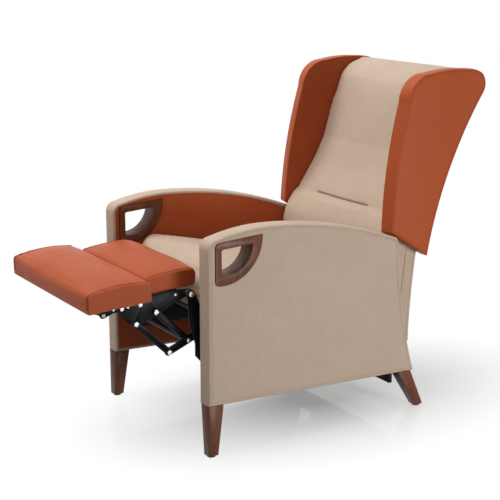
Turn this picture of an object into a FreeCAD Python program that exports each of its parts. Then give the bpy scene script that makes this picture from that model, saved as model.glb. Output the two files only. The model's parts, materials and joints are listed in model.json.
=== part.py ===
"""Wing-back recliner with a fold-out footrest, as a parametric document.

Millimetres, +Z up, the sitter faces -Y and the sitter's left is +X. The origin
is on the floor, midway between the footrest's tip and the back's rear edge.
Lengths along Y are counted from the arms' front face, and heights from the floor.
"""
import FreeCAD
import Part
import math
import os

V = FreeCAD.Vector
LEFT = 1
RIGHT = -1
SIDES = ((LEFT, "left"), (RIGHT, "right"))

doc = FreeCAD.newDocument("Recliner")
sheet = doc.addObject("Spreadsheet::Sheet", "Dims")

SIZES = (
    ("arm_front", -352.7, "arms' front face, from the middle of the whole length"),
    ("arm_outer", 330, "arm outer face from the middle plane"),
    ("arm_thick", 56, "arm panel with its covers"),
    ("arm_cover", 16, "foam and cover on each face of an arm board"),
    ("arm_band", 8, "band over the edges of the arm board and inner pad"),
    ("arm_bottom_front", 163, "arm bottom edge at the front"),
    ("arm_bottom_rear", 134, "arm bottom edge at the rear"),
    ("arm_depth_low", 770, "arm length along its bottom edge"),
    ("arm_depth_high", 695, "arm length at its rear top corner"),
    ("arm_corner", 32, "front top corner radius of an arm"),
    ("arm_peak", 683, "highest point of an arm"),
    ("arm_rear_top", 576, "rear top corner of an arm"),
    ("grip_front", 23, "hand grip frame from the arm's front face"),
    ("grip_length", 164, "hand grip frame along the arm"),
    ("grip_below", 31, "hand grip frame top below the arm's peak, at its front end"),
    ("grip_drop", 127, "hand grip frame height at its front end"),
    ("grip_rim", 20, "width of the grip frame's rim"),
    ("grip_proud", 2, "grip frame stands proud of the cover"),
    ("leg_top", 47, "leg width at the arm"),
    ("leg_foot", 29, "leg width at the floor"),
    ("leg_inset", 3, "leg outer side from the arm's outer face"),
    ("leg_glide", 5, "glide thickness under a leg"),
    ("front_leg_depth", 49, "front leg length along Y at the arm"),
    ("rear_leg_place", 710, "rear leg's front side at the arm"),
    ("rear_leg_rake", 80, "rear foot's front side behind its top"),
    ("rear_leg_toe", 7, "rear foot stands further in than the front one"),
    ("bolt_dia", 8, "leg bolt"),
    ("bolt_long", 80, "leg bolt length"),
    ("bolt_in_leg", 20, "length of a leg bolt inside the leg"),
    ("rail_tall", 28, "cross rail height"),
    ("rail_deep", 34, "front cross rail depth"),
    ("front_rail_place", 400, "front cross rail from the arms' front face"),
    ("rail_under", 142, "front cross rail's underside above the floor"),
    ("rear_rail_place", 698, "rear cross rail from the arms' front face"),
    ("rear_rail_under", 92, "rear cross rail's underside above the floor"),
    ("rear_rail_tall", 60, "rear cross rail height"),
    ("rear_rail_deep", 22, "rear cross rail depth"),
    ("plate_thick", 4, "steel plate of the mechanism"),
    ("plate_inset", 30, "side plate's outer face from the arm's inner face"),
    ("rocker_inset", 28, "inner face of the brackets and cranks from the side plate's outer face"),
    ("link_gap", 0.5, "gap between neighbouring links"),
    ("runner_low", 244, "seat runner underside above the floor"),
    ("runner_tall", 36, "seat runner height"),
    ("runner_wall", 3, "seat runner wall"),
    ("runner_depth", 22, "seat runner width"),
    ("runner_start", 88, "seat runner's front end"),
    ("runner_long", 440, "seat runner length"),
    ("slide_play", 0.5, "slide block clearance in the runner"),
    ("slide_block", 50, "slide block length"),
    ("fold_place", -8, "footrest hinge along Y"),
    ("fold_height", 488, "footrest hinge height"),
    ("strut_place", -180, "lower strut's bracket pivot along Y"),
    ("strut_height", 420, "lower strut's bracket pivot height"),
    ("knee_place", -73, "lower strut's crank pivot along Y"),
    ("knee_height", 316, "lower strut's crank pivot height"),
    ("upper_share", 0.62, "upper strut's pivots as a share of the rocker length"),
    ("recline_place", 690, "back hinge along Y"),
    ("recline_height", 400, "back hinge height"),
    ("link_width", 20, "width of a strut"),
    ("crank_width", 24, "width of a crank arm"),
    ("rivet_dia", 8, "rivet shank"),
    ("rivet_head", 14, "rivet head"),
    ("head_thick", 3.2, "rivet head thickness"),
    ("hinge_dia", 10, "footrest hinge pin"),
    ("hinge_play", 0.06, "radial clearance of a pin in its moving hole"),
    ("torque_dia", 18, "torque tube"),
    ("journal_dia", 14, "torque tube journal in the side plates"),
    ("cross_dia", 18, "cross tube of the cranks"),
    ("tie_dia", 16, "cross tube of the footrest brackets"),
    ("recline_dia", 12, "back hinge pin"),
    ("pad_gap", 4, "outer pad's side from the arm's inner face"),
    ("inner_pad_inset", 52, "inner pad is narrower than the outer one at each side"),
    ("pad_tip", -353, "footrest tip"),
    ("pad_split", -148, "rear end of the outer pad"),
    ("inner_pad_front", -146, "front end of the inner pad"),
    ("pad_heel", 22, "rear end of the inner pad"),
    ("pad_board", 9, "board in each pad's underside"),
    ("board_inset", 8, "board's edge from the pad's edge"),
    ("outer_pad_low", 483, "outer pad's underside at the tip"),
    ("outer_pad_tall", 62, "outer pad's height at its ends"),
    ("inner_pad_low", 498, "inner pad's underside at its front"),
    ("inner_pad_tall", 54, "inner pad's height at its ends"),
    ("pad_slope", 2.6, "pads rise to the rear, degrees"),
    ("pad_crown", 9, "crown of the pads"),
    ("seat_gap", 6, "seat cushion's side from the arm's inner face"),
    ("seat_lip", 32, "front of the seat cushion"),
    ("seat_rear", 638, "rear of the seat cushion"),
    ("deck_height", 462, "seat deck top at its front"),
    ("deck_slope", 8, "deck falls to the rear, degrees"),
    ("deck_thick", 6, "seat deck board"),
    ("seat_tall", 96, "seat cushion thickness at the front"),
    ("seat_fall", 6, "seat top falls more than the deck, degrees"),
    ("seat_crown", 12, "seat cushion crown"),
    ("frame_thick", 22, "wooden seat rails"),
    ("frame_tall", 45, "wooden seat rail height"),
    ("frame_rear", 600, "rear end of the seat frame"),
    ("web_thick", 2, "elastic webbing"),
    ("web_wide", 50, "webbing strap width"),
    ("web_step", 84, "from one seat strap to the next"),
    ("back_gap", 4, "back frame's side from the arm's inner face"),
    ("cheek_thick", 20, "back frame cheek thickness"),
    ("cheek_deep", 35, "back frame cheek depth"),
    ("side_low_y", 720, "lower front corner of the back's side panels"),
    ("side_low", 225, "lower end of the back's side panels"),
    ("side_high_y", 674, "upper front corner of the back's side panels"),
    ("side_high", 556, "upper end of the back's side panels"),
    ("panel_thick", 12, "rear cover panel"),
    ("back_low", 211, "lower end of the rear cover panel"),
    ("back_low_y", 795, "rear face at its lower end"),
    ("back_bend", 505, "height where the back starts to lean"),
    ("back_bend_y", 818, "rear face at the bend"),
    ("back_mid_y", 892, "rear face half-way up the leaning part"),
    ("back_high", 1014, "height of the leaning part's end"),
    ("back_high_y", 1036, "rear face at the leaning part's end"),
    ("back_crown", 14, "crown of the back cushion across its width"),
    ("slit_height", 648, "tuck between back cushion and lumbar pillow"),
    ("front_low_y", 719, "back cushion's front face at the tuck"),
    ("front_mid", 825, "height where the front face turns steeper"),
    ("front_mid_y", 824, "front face at that height"),
    ("front_high", 1035, "height where the front face starts to roll over"),
    ("front_high_y", 890, "front face at that height"),
    ("lumbar_low", 425, "lower end of the lumbar pillow"),
    ("wing_inset", 12, "wing's outer face at its foot from the arm's outer face"),
    ("wing_lean", 16, "wing's faces lean in from its foot to its top"),
    ("wing_low_y", 668, "wing's front bottom corner"),
    ("wing_low", 599, "height of the wing's front bottom corner"),
    ("wing_heel", 507, "height of the wing's rear bottom corner"),
    ("wing_proud", 15, "wing's rear edge stands proud of the rear face half-way up"),
    ("wing_slant", 10, "wing's front face stands back at its outer edge"),
    ("wing_top", 1095, "top of the wings"),
    ("wing_board", 12, "ply board inside a wing"),
    ("wing_cover", 18, "foam over the wing board's edge"),
    ("back_top", 1093, "top of the back cushion"),
)

for row, (alias, number, note) in enumerate(SIZES, start=1):
    sheet.set(f"A{row}", alias)
    sheet.set(f"B{row}", str(number))
    sheet.setAlias(f"B{row}", alias)
    sheet.set(f"C{row}", note)
doc.recompute()

parts = []


def dim(alias):
    """A driving dimension, read from the sheet."""
    return float(getattr(sheet, alias))


FRONT = dim("arm_front")
ARM_INNER = "(Dims.arm_outer - Dims.arm_thick)"
PLATE_OUTER = f"({ARM_INNER} - Dims.plate_inset)"
PLATE_INNER = f"({PLATE_OUTER} - Dims.plate_thick)"
ROCKER_INNER = f"({PLATE_OUTER} - Dims.rocker_inset)"
BACK_HALF = f"({ARM_INNER} - Dims.back_gap)"
CHEEK_INNER = f"({BACK_HALF} - Dims.cheek_thick)"
arm_inner = dim("arm_outer") - dim("arm_thick")
plate_outer = arm_inner - dim("plate_inset")
plate_inner = plate_outer - dim("plate_thick")
rocker_inner = plate_outer - dim("rocker_inset")
rocker_outer = rocker_inner + dim("plate_thick")
back_half = arm_inner - dim("back_gap")
cheek_inner = back_half - dim("cheek_thick")
pad_half = arm_inner - dim("pad_gap")
inner_pad_half = pad_half - dim("inner_pad_inset")
seat_half = arm_inner - dim("seat_gap")


def at(y, z, x=0.0):
    """A point from its distance behind the arms' front face and its height."""
    return V(x, FRONT + y, z)


def keep(thing, label):
    """Name a finished sub-part and list it for export."""
    thing.Label = label
    parts.append(thing)
    return thing


def line_steps(*points):
    return [("line", point) for point in points]


def outline_geometry(start, steps):
    """Sketch geometry for an outline of lines and arcs in the YZ plane."""
    shapes = []
    here = start
    for step in steps + [("line", start)]:
        end = step[-1]
        first = V(FRONT + here[0], here[1], 0)
        last = V(FRONT + end[0], end[1], 0)
        if step[0] == "line" and (first - last).Length > 1e-6:
            shapes.append(Part.LineSegment(first, last))
        elif step[0] == "arc":
            middle = V(FRONT + step[1][0], step[1][1], 0)
            shapes.append(Part.Arc(first, middle, last))
        here = end
    return shapes


def plate(label, side, inner, thickness, start, steps, holes=(), show=True):
    """A plate parallel to the YZ plane: a sketched outline with round holes.

    inner and thickness are expressions; the right-hand plate is the mirror image.
    """
    body = doc.addObject("PartDesign::Body", label)
    plane = [f for f in body.Origin.OriginFeatures if f.Role == "YZ_Plane"][0]
    sketch = body.newObject("Sketcher::SketchObject", label + "_outline")
    sketch.AttachmentSupport = [(plane, "")]
    sketch.MapMode = "FlatFace"
    for shape in outline_geometry(start, steps):
        sketch.addGeometry(shape, False)
    for y, z, radius in holes:
        circle = Part.Circle(V(FRONT + y, z, 0), V(0, 0, 1), radius)
        sketch.addGeometry(circle, False)
    place = inner if side == LEFT else f"-({inner}) - ({thickness})"
    sketch.setExpression("AttachmentOffset.Base.z", place)
    pad = body.newObject("PartDesign::Pad", label + "_pad")
    pad.Profile = sketch
    pad.setExpression("Length", thickness)
    body.Tip = pad
    return keep(body, label) if show else body


def across(label, half, start, steps, show=True):
    """A piece of one outline that reaches from side to side."""
    return plate(label, LEFT, f"-({half})", f"2 * ({half})", start, steps, (), show)


def block(name, lengths, corner):
    """A box from three length expressions and its lowest corner."""
    box = doc.addObject("Part::Box", name)
    for key, text in zip(("Length", "Width", "Height"), lengths):
        box.setExpression(key, text)
    box.Placement = FreeCAD.Placement(corner, FreeCAD.Rotation())
    return box


def rod(name, side, x_from, x_to, y, z, radius):
    """A round bar along X between two distances from the middle plane."""
    bar = doc.addObject("Part::Cylinder", name)
    bar.setExpression("Radius", radius)
    bar.Height = x_to - x_from
    start = x_from if side == LEFT else -x_to
    bar.Placement = FreeCAD.Placement(at(y, z, start), FreeCAD.Rotation(V(0, 1, 0), 90))
    return bar


def post(name, x, y, z_from, length, radius):
    """A round bar along Z."""
    bar = doc.addObject("Part::Cylinder", name)
    bar.setExpression("Radius", radius)
    bar.setExpression("Height", length)
    bar.Placement = FreeCAD.Placement(at(y, z_from, x), FreeCAD.Rotation())
    return bar


def fused(label, pieces):
    joined = doc.addObject("Part::MultiFuse", label)
    joined.Shapes = pieces
    return keep(joined, label)


def group(label, pieces):
    """Like pieces that share one node and stay separate solids."""
    bundle = doc.addObject("Part::Compound", label)
    bundle.Links = pieces
    return keep(bundle, label)


def cut(label, base, tools):
    """The base with every tool taken away."""
    for number, tool in enumerate(tools):
        result = doc.addObject("Part::Cut", f"{label}_cut{number}")
        result.Base = base
        result.Tool = tool
        base = result
    return keep(base, label)


def shaped(label, shape, show=True):
    """A solid whose form is given by its own surfaces."""
    thing = doc.addObject("Part::Feature", label)
    thing.Shape = shape
    thing.Placement = FreeCAD.Placement()
    return keep(thing, label) if show else thing


def section(x, start, steps):
    """A closed wire of lines and arcs in the plane at x."""
    edges = []
    here = at(start[0], start[1], x)
    first = here
    for step in steps:
        end = at(step[-1][0], step[-1][1], x)
        if step[0] == "line":
            edges.append(Part.LineSegment(here, end).toShape())
        else:
            edges.append(Part.Arc(here, at(step[1][0], step[1][1], x), end).toShape())
        here = end
    if (here - first).Length > 1e-6:
        edges.append(Part.LineSegment(here, first).toShape())
    return Part.Wire(edges)


def pillow(label, half, profile, stations, show=True):
    """A cushion lofted across its width; profile(s) gives the outline at share s."""
    wires = []
    for share in stations:
        start, steps = profile(abs(share))
        wires.append(section(share * half, start, steps))
    return shaped(label, Part.makeLoft(wires, True, False), show)


def link_steps(first, last, width):
    """A straight link with round ends about two pivots."""
    radius = width / 2
    run = V(last[0] - first[0], last[1] - first[1], 0).normalize()
    side = V(-run.y, run.x, 0) * radius
    tip = run * radius
    start = (first[0] + side.x, first[1] + side.y)
    steps = [("line", (last[0] + side.x, last[1] + side.y)),
             ("arc", (last[0] + tip.x, last[1] + tip.y), (last[0] - side.x, last[1] - side.y)),
             ("line", (first[0] - side.x, first[1] - side.y)),
             ("arc", (first[0] - tip.x, first[1] - tip.y), start)]
    return start, steps


def circle_through(first, middle, last):
    """Centre and radius of the circle through three points."""
    circle = Part.Circle(V(*first, 0), V(*middle, 0), V(*last, 0))
    return circle.Center.x, circle.Center.y, circle.Radius


# Arms
arm_low = dim("arm_bottom_front")
arm_fall = (dim("arm_bottom_front") - dim("arm_bottom_rear")) / dim("arm_depth_low")


def arm_bottom(y):
    """Height of the arms' sloping bottom edge."""
    return arm_low - arm_fall * y


def arm_outline(inset):
    """Arm outline, drawn in by inset on all sides."""
    corner = dim("arm_corner")
    shoulder = dim("arm_peak") - 19
    rear_mid = (dim("arm_depth_low") + dim("arm_depth_high")) / 2 - 18
    start = (inset, arm_low + inset)
    steps = [
        ("line", (inset, shoulder - corner)),
        ("arc", (0.29 * corner + 0.71 * inset, shoulder - 0.29 * corner - 0.71 * inset),
         (corner, shoulder - inset)),
        ("arc", (0.52 * corner + 102, dim("arm_peak") - 3 - inset), (226, dim("arm_peak") - inset)),
        ("arc", (470, dim("arm_peak") - 32 - inset),
         (dim("arm_depth_high") - 8 - inset, dim("arm_rear_top") + 9 - inset)),
        ("line", (dim("arm_depth_high") + 0.6 - inset, dim("arm_rear_top") - 4 - inset)),
        ("arc", (rear_mid - inset, 370), (dim("arm_depth_low") - inset,
                                          dim("arm_bottom_rear") + inset)),
    ]
    return start, steps


def grip_outline(rim):
    """The grip frame's D outline, or its finger hole when rim is its width."""
    y0 = dim("grip_front") + rim
    y1 = dim("grip_front") + dim("grip_length") - 1.7 * rim
    rise = 9 * (y1 - y0) / dim("grip_length")
    head_room = dim("arm_peak") - dim("grip_below")
    top = head_room - rim
    low = head_room - dim("grip_drop") + 1.55 * rim
    round_in = 14 - 0.4 * rim
    start = (y0, low + round_in)
    bulge = ((y1 - y0) * 0.783 + y0, (top - low) * 0.375 + low)
    steps = [
        ("line", (y0, top - round_in)),
        ("arc", (y0 + 0.29 * round_in, top - 0.29 * round_in), (y0 + round_in, top)),
        ("line", (y1 - 4, top + rise)),
        ("arc", bulge, (y0 + round_in, low)),
        ("arc", (y0 + 0.29 * round_in, low + 0.29 * round_in), start),
    ]
    return start, steps


bolts = []
glides = []


def leg(label, side, top_front, top_deep, foot_front, toe):
    """A tapered leg whose top lies on the arm's sloping bottom edge."""
    outer = dim("arm_outer") - dim("leg_inset")
    top_wide = dim("leg_top")
    foot = dim("leg_foot")
    x_out = outer - 2 - toe
    corners_top = ((outer - top_wide, top_front), (outer, top_front),
                   (outer, top_front + top_deep), (outer - top_wide, top_front + top_deep))
    corners_foot = ((x_out - foot, foot_front), (x_out, foot_front),
                    (x_out, foot_front + foot + 3), (x_out - foot, foot_front + foot + 3))
    top = [at(y, arm_bottom(y), side * x) for x, y in corners_top]
    low = [at(y, dim("leg_glide"), side * x) for x, y in corners_foot]
    wires = [Part.makePolygon(ring + ring[:1]) for ring in (low, top)]
    body = shaped(label + "_taper", Part.makeLoft(wires, True, True), False)
    x_bolt = side * (outer - top_wide / 2)
    y_bolt = top_front + top_deep / 2
    z_bolt = arm_bottom(y_bolt) - dim("bolt_in_leg")
    bolt = post(label + "_bolt", x_bolt, y_bolt, z_bolt, "Dims.bolt_long", "Dims.bolt_dia / 2")
    bolts.append(bolt)
    glide = post(label + "_glide", side * (x_out - foot / 2), foot_front + foot / 2 + 1.5, 0,
                 "Dims.leg_glide", "Dims.leg_foot / 2 - 2")
    glides.append(glide)
    return cut(label, body, [bolt])


for side, word in SIDES:
    leg("front_leg_" + word, side, 1, dim("front_leg_depth"), 0, 0)
    leg("rear_leg_" + word, side, dim("rear_leg_place"), dim("front_leg_depth"),
        dim("rear_leg_place") + dim("rear_leg_rake"), dim("rear_leg_toe"))

for side, word in SIDES:
    whole = arm_outline(0)
    inset = arm_outline(dim("arm_band"))
    grip = grip_outline(0)
    hole = grip_outline(dim("grip_rim"))
    mid = ARM_INNER + " + Dims.arm_cover"
    core_thick = "Dims.arm_thick - 2 * Dims.arm_cover"
    band_wide = "Dims.arm_thick - Dims.arm_cover"
    outside = ARM_INNER + " - 10"
    tool = plate("grip_opening_" + word, side, outside, "Dims.arm_thick + 20", *grip, show=False)
    fingers = plate("finger_hole_" + word, side, outside, "Dims.arm_thick + 20", *hole,
                    show=False)
    inner_block = plate("band_core_" + word, side, ARM_INNER, band_wide, *inset, show=False)
    own_bolts = bolts[0:2] if side == LEFT else bolts[2:4]
    board = plate("arm_board_solid_" + word, side, mid, core_thick, *inset, show=False)
    cut("arm_board_" + word, board, [tool] + own_bolts)
    band = plate("arm_band_solid_" + word, side, ARM_INNER, band_wide, *whole, show=False)
    cut("arm_edge_band_" + word, band, [inner_block] + own_bolts)
    inner = plate("arm_inner_solid_" + word, side, ARM_INNER, "Dims.arm_cover", *inset,
                  show=False)
    cut("arm_inner_pad_" + word, inner, [tool])
    outer = plate("arm_outer_solid_" + word, side, "Dims.arm_outer - Dims.arm_cover",
                  "Dims.arm_cover", *whole, show=False)
    cut("arm_outer_pad_" + word, outer, [tool])
    frame = plate("grip_solid_" + word, side, ARM_INNER + " - Dims.grip_proud",
                  "Dims.arm_thick + 2 * Dims.grip_proud", *grip, show=False)
    cut("grip_frame_" + word, frame, [fingers])

group("leg_bolts", bolts)
group("leg_glides", glides)

# Cross rails, corner brackets and runners
keep(block("front_rail_bar", (f"2 * {ARM_INNER}", "Dims.rail_deep", "Dims.rail_tall"),
           at(dim("front_rail_place"), dim("rail_under"), -arm_inner)), "front_cross_rail")
keep(block("rear_rail_bar", (f"2 * {ARM_INNER}", "Dims.rear_rail_deep", "Dims.rear_rail_tall"),
           at(dim("rear_rail_place"), dim("rear_rail_under"), -arm_inner)), "rear_cross_rail")

steel = dim("plate_thick") - 1
rail_tops = ((dim("front_rail_place"), dim("rail_deep"), dim("rail_under") + dim("rail_tall"), 50),
             (dim("rear_rail_place"), dim("rear_rail_deep"),
              dim("rear_rail_under") + dim("rear_rail_tall"), 22))
angles = []
for side, word in SIDES:
    upright_x = arm_inner - steel if side == LEFT else -arm_inner
    for number, (place, deep, top, bracket_leg) in enumerate(rail_tops):
        flat_x = arm_inner - bracket_leg if side == LEFT else -arm_inner
        upright = block(f"angle_up_{word}_{number}",
                        ("Dims.plate_thick - 1", f"{deep}", f"{bracket_leg}"),
                        at(place, top, upright_x))
        flat = block(f"angle_flat_{word}_{number}",
                     (f"{bracket_leg}", f"{deep}", "Dims.plate_thick - 1"),
                     at(place, top, flat_x))
        angle = doc.addObject("Part::MultiFuse", f"angle_{word}_{number}")
        angle.Shapes = [upright, flat]
        angles.append(angle)
    gusset_y = dim("rear_rail_place")
    gusset_deep = dim("rear_leg_place") - gusset_y - 1
    gusset_tall = arm_bottom(gusset_y + gusset_deep) - 0.1 - dim("rear_rail_under")
    gusset_x = arm_inner if side == LEFT else -arm_inner - dim("rear_rail_deep")
    angles.append(block(f"gusset_{word}", ("Dims.rear_rail_deep", f"{gusset_deep}", f"{gusset_tall}"),
                        at(gusset_y, dim("rear_rail_under"), gusset_x)))
group("corner_brackets", angles)

runner_x = arm_inner - dim("runner_depth")
for side, word in SIDES:
    start_x = runner_x if side == LEFT else -arm_inner
    solid = block("runner_solid_" + word, ("Dims.runner_depth", "Dims.runner_long", "Dims.runner_tall"),
                  at(dim("runner_start"), dim("runner_low"), start_x))
    wall = dim("runner_wall")
    hollow_x = runner_x - 1 if side == LEFT else -arm_inner + wall + 1
    hollow = block("runner_hollow_" + word,
                   ("Dims.runner_depth - Dims.runner_wall", "Dims.runner_long + 2",
                    "Dims.runner_tall - 2 * Dims.runner_wall"),
                   at(dim("runner_start") - 1, dim("runner_low") + wall, hollow_x))
    cut("seat_runner_" + word, solid, [hollow])

# Linkage pivots: hinge, strut and knee are set, the rest follows from the parallelogram
hinge = (dim("fold_place"), dim("fold_height"))
strut = (dim("strut_place"), dim("strut_height"))
knee = (dim("knee_place"), dim("knee_height"))
torque = (hinge[0] + knee[0] - strut[0], hinge[1] + knee[1] - strut[1])
share = dim("upper_share")
upper_strut = (hinge[0] + share * (strut[0] - hinge[0]), hinge[1] + share * (strut[1] - hinge[1]))
upper_knee = (torque[0] + share * (knee[0] - torque[0]), torque[1] + share * (knee[1] - torque[1]))
recline = (dim("recline_place"), dim("recline_height"))
rivet_hole = dim("rivet_dia") / 2
loose_rivet = rivet_hole + dim("hinge_play")
loose_hinge = dim("hinge_dia") / 2 + dim("hinge_play")
loose_recline = dim("recline_dia") / 2 + dim("hinge_play")
loose_journal = dim("journal_dia") / 2 + dim("hinge_play")
deck_fall = math.tan(math.radians(dim("deck_slope")))


def deck_top(y):
    """Height of the seat deck's upper face."""
    return dim("deck_height") - deck_fall * (y - dim("seat_lip"))


def frame_top(y):
    return deck_top(y) - dim("deck_thick")


# Seat carriage
slide_low = dim("runner_low") + dim("runner_wall") + dim("slide_play")
slide_tall = dim("runner_tall") - 2 * dim("runner_wall") - 2 * dim("slide_play")
slide_places = (dim("runner_start") + 32, dim("runner_start") + 272)
ear = 13.0
boss = 20.0
plate_start = (hinge[0] - ear, hinge[1])
plate_steps = [
    ("arc", (hinge[0], hinge[1] + ear), (hinge[0] + ear * 0.9, hinge[1] + ear * 0.44)),
    ("line", (24, frame_top(24) - 14)),
    ("line", (dim("seat_rear") + 4, frame_top(dim("seat_rear") + 4) - 4)),
    ("line", (recline[0] - 0.82 * boss, recline[1] + 0.572 * boss)),
    ("arc", (recline[0] + 0.8 * boss, recline[1] + 0.6 * boss), (recline[0] + 0.6 * boss,
                                                                recline[1] - 0.8 * boss)),
    ("line", (600, 312)),
    ("line", (slide_places[1] + dim("slide_block") + 12, slide_low)),
    ("line", (slide_places[0] - 8, slide_low)),
    ("line", (34, 262)),
    ("line", (4, 296)),
    ("line", (4, 334)),
    ("line", (-15, 400)),
]
plate_holes = ((hinge[0], hinge[1], dim("hinge_dia") / 2), (torque[0], torque[1], loose_journal),
               (recline[0], recline[1], dim("recline_dia") / 2))
for side, word in SIDES:
    plate("side_plate_" + word, side, PLATE_INNER, "Dims.plate_thick", plate_start, plate_steps,
          plate_holes)

blocks = []
for side, word in SIDES:
    for number, place in enumerate(slide_places):
        wide = dim("plate_inset") - dim("runner_wall") - 1.5
        x_low = plate_outer if side == LEFT else -plate_outer - wide
        blocks.append(block(f"slide_{word}_{number}", (f"{wide}", "Dims.slide_block", f"{slide_tall}"),
                            at(place, slide_low, x_low)))
group("slide_blocks", blocks)

pins = []
head = dim("head_thick")
for side, word in SIDES:
    pieces = [
        rod("hinge_head_in_" + word, side, rocker_inner - head - 0.3, rocker_inner - 0.3, *hinge,
            "Dims.rivet_head / 2 + 2"),
        rod("hinge_shank_" + word, side, rocker_inner - 0.3, plate_outer, *hinge, "Dims.hinge_dia / 2"),
        rod("hinge_collar_" + word, side, rocker_outer + 0.3, plate_inner, *hinge,
            "Dims.hinge_dia / 2 + 4"),
        rod("hinge_head_out_" + word, side, plate_outer, plate_outer + head, *hinge,
            "Dims.rivet_head / 2 + 2"),
    ]
    pin = doc.addObject("Part::MultiFuse", "hinge_pin_" + word)
    pin.Shapes = pieces
    pins.append(pin)
group("footrest_hinge_pins", pins)

recline_pins = []
for side, word in SIDES:
    pieces = [
        rod("recline_head_" + word, side, plate_inner - head,
            plate_inner, *recline, "Dims.recline_dia / 2 + 5"),
        rod("recline_shank_" + word, side, plate_inner, cheek_inner - 0.3, *recline,
            "Dims.recline_dia / 2"),
        rod("recline_collar_" + word, side, plate_outer, plate_outer + 0.7, *recline,
            "Dims.recline_dia / 2 + 4"),
    ]
    pin = doc.addObject("Part::MultiFuse", "recline_pin_" + word)
    pin.Shapes = pieces
    recline_pins.append(pin)
group("recline_hinge_pins", recline_pins)

side_rails = []
for side, word in SIDES:
    y0 = dim("seat_lip") + 4
    y1 = dim("frame_rear")
    tall = dim("frame_tall")
    side_rails.append(plate("seat_rail_" + word, side, PLATE_OUTER, "Dims.frame_thick",
                            (y0, frame_top(y0) - tall),
                            line_steps((y0, frame_top(y0)), (y1, frame_top(y1)),
                                       (y1, frame_top(y1) - tall)), (), False))
group("seat_side_rails", side_rails)

seat_front_place = 58
seat_rails = []
for label, y0 in (("seat_front_rail", seat_front_place),
                  ("seat_rear_rail", dim("frame_rear") - dim("frame_thick"))):
    y1 = y0 + dim("frame_thick")
    seat_rails.append(across(label, PLATE_INNER, (y0, frame_top(y0) - 40),
                             line_steps((y0, frame_top(y0) - dim("web_thick")),
                                        (y1, frame_top(y1) - dim("web_thick")),
                                        (y1, frame_top(y1) - 40)), False))
group("seat_cross_rails", seat_rails)

straps = []
for number in range(-2, 3):
    y0 = seat_front_place
    y1 = dim("frame_rear")
    straps.append(plate(f"seat_strap_{number + 2}", LEFT,
                        f"{number} * Dims.web_step - Dims.web_wide / 2", "Dims.web_wide",
                        (y0, frame_top(y0) - dim("web_thick")),
                        line_steps((y0, frame_top(y0)), (y1, frame_top(y1)),
                                   (y1, frame_top(y1) - dim("web_thick"))), (), False))
group("seat_webbing", straps)

across("seat_deck", PLATE_OUTER + " + Dims.frame_thick",
       (dim("seat_lip") + 4, frame_top(dim("seat_lip") + 4)),
       line_steps((dim("seat_lip") + 4, deck_top(dim("seat_lip") + 4)),
                  (dim("frame_rear") + 20, deck_top(dim("frame_rear") + 20)),
                  (dim("frame_rear") + 20, frame_top(dim("frame_rear") + 20))))

seat_fall = math.tan(math.radians(dim("deck_slope") + dim("seat_fall")))


def seat_profile(share):
    """Seat cushion outline: waterfall front, crowned top, drawn in at the sides."""
    pull = share ** 4
    lip = dim("seat_lip") + 58 * pull
    crown = dim("seat_crown") * (1 - pull)
    high = dim("deck_height") + dim("seat_tall") - 7 + crown
    roll = dim("seat_lip") + 88 + 24 * pull
    rear = dim("seat_rear")
    rear_high = high - seat_fall * (rear - roll)
    start = (dim("seat_lip") + 4 + 6 * pull, deck_top(dim("seat_lip") + 4 + 6 * pull))
    steps = [
        ("arc", (lip - 6, 500), (lip + 18, 532)),
        ("arc", (lip + 40 - 12 * pull, high - 7 - 2 * pull), (roll, high)),
        ("arc", ((roll + rear) / 2, (high + rear_high) / 2 + 5), (rear - 10, rear_high)),
        ("arc", (rear - 2, rear_high - 5), (rear, rear_high - 16)),
        ("line", (rear, deck_top(rear))),
    ]
    return start, steps


CUSHION_STATIONS = (-1, -0.9, -0.6, 0, 0.6, 0.9, 1)
pillow("seat_cushion", seat_half, seat_profile, CUSHION_STATIONS)

# Crank with its torque tube, cross tube and rivets
crank_outline = link_steps(torque, knee, dim("crank_width"))
for side, word in SIDES:
    plate("crank_arm_" + word, side, ROCKER_INNER, "Dims.plate_thick", *crank_outline,
          holes=((*torque, dim("torque_dia") / 2), (*knee, rivet_hole), (*upper_knee, rivet_hole)))

tube = doc.addObject("Part::MultiFuse", "torque_tube_solid")
plate_gap = plate_inner - 0.4
tube.Shapes = [
    rod("torque_middle", LEFT, -plate_gap, plate_gap, *torque, "Dims.torque_dia / 2"),
    rod("torque_journals", LEFT, -plate_outer - 0.5, plate_outer + 0.5, *torque, "Dims.journal_dia / 2"),
]
keep(tube, "torque_tube")
cross = rod("cross_tube_bar", LEFT, -rocker_inner, rocker_inner, *upper_knee, "Dims.cross_dia / 2")
keep(cross, "crank_cross_tube")

strut_in = ROCKER_INNER + " + Dims.plate_thick + Dims.link_gap"
strut_out = rocker_outer + dim("link_gap") + dim("plate_thick")


def rivet(name, side, pivot, head_inside=True):
    """A rivet through a rocker and a strut, with a head on each side."""
    inside = rocker_inner - head if head_inside else rocker_inner
    pieces = [rod(name + "_shank", side, rocker_inner, strut_out + 0.3, *pivot, "Dims.rivet_dia / 2"),
              rod(name + "_out", side, strut_out + 0.3, strut_out + 0.3 + head, *pivot,
                  "Dims.rivet_head / 2")]
    if head_inside:
        pieces.append(rod(name + "_in", side, inside, rocker_inner, *pivot, "Dims.rivet_head / 2"))
    joined = doc.addObject("Part::MultiFuse", name)
    joined.Shapes = pieces
    return joined


group("crank_rivets", [rivet(f"knee_rivet_{word}", side, knee) for side, word in SIDES]
      + [rivet(f"upper_knee_rivet_{word}", side, upper_knee, False) for side, word in SIDES])

for label, first, last in (("lower_strut_", strut, knee), ("upper_strut_", upper_strut, upper_knee)):
    for side, word in SIDES:
        plate(label + word, side, strut_in, "Dims.plate_thick",
              *link_steps(first, last, dim("link_width")),
              holes=((*first, loose_rivet), (*last, loose_rivet)))

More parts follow.
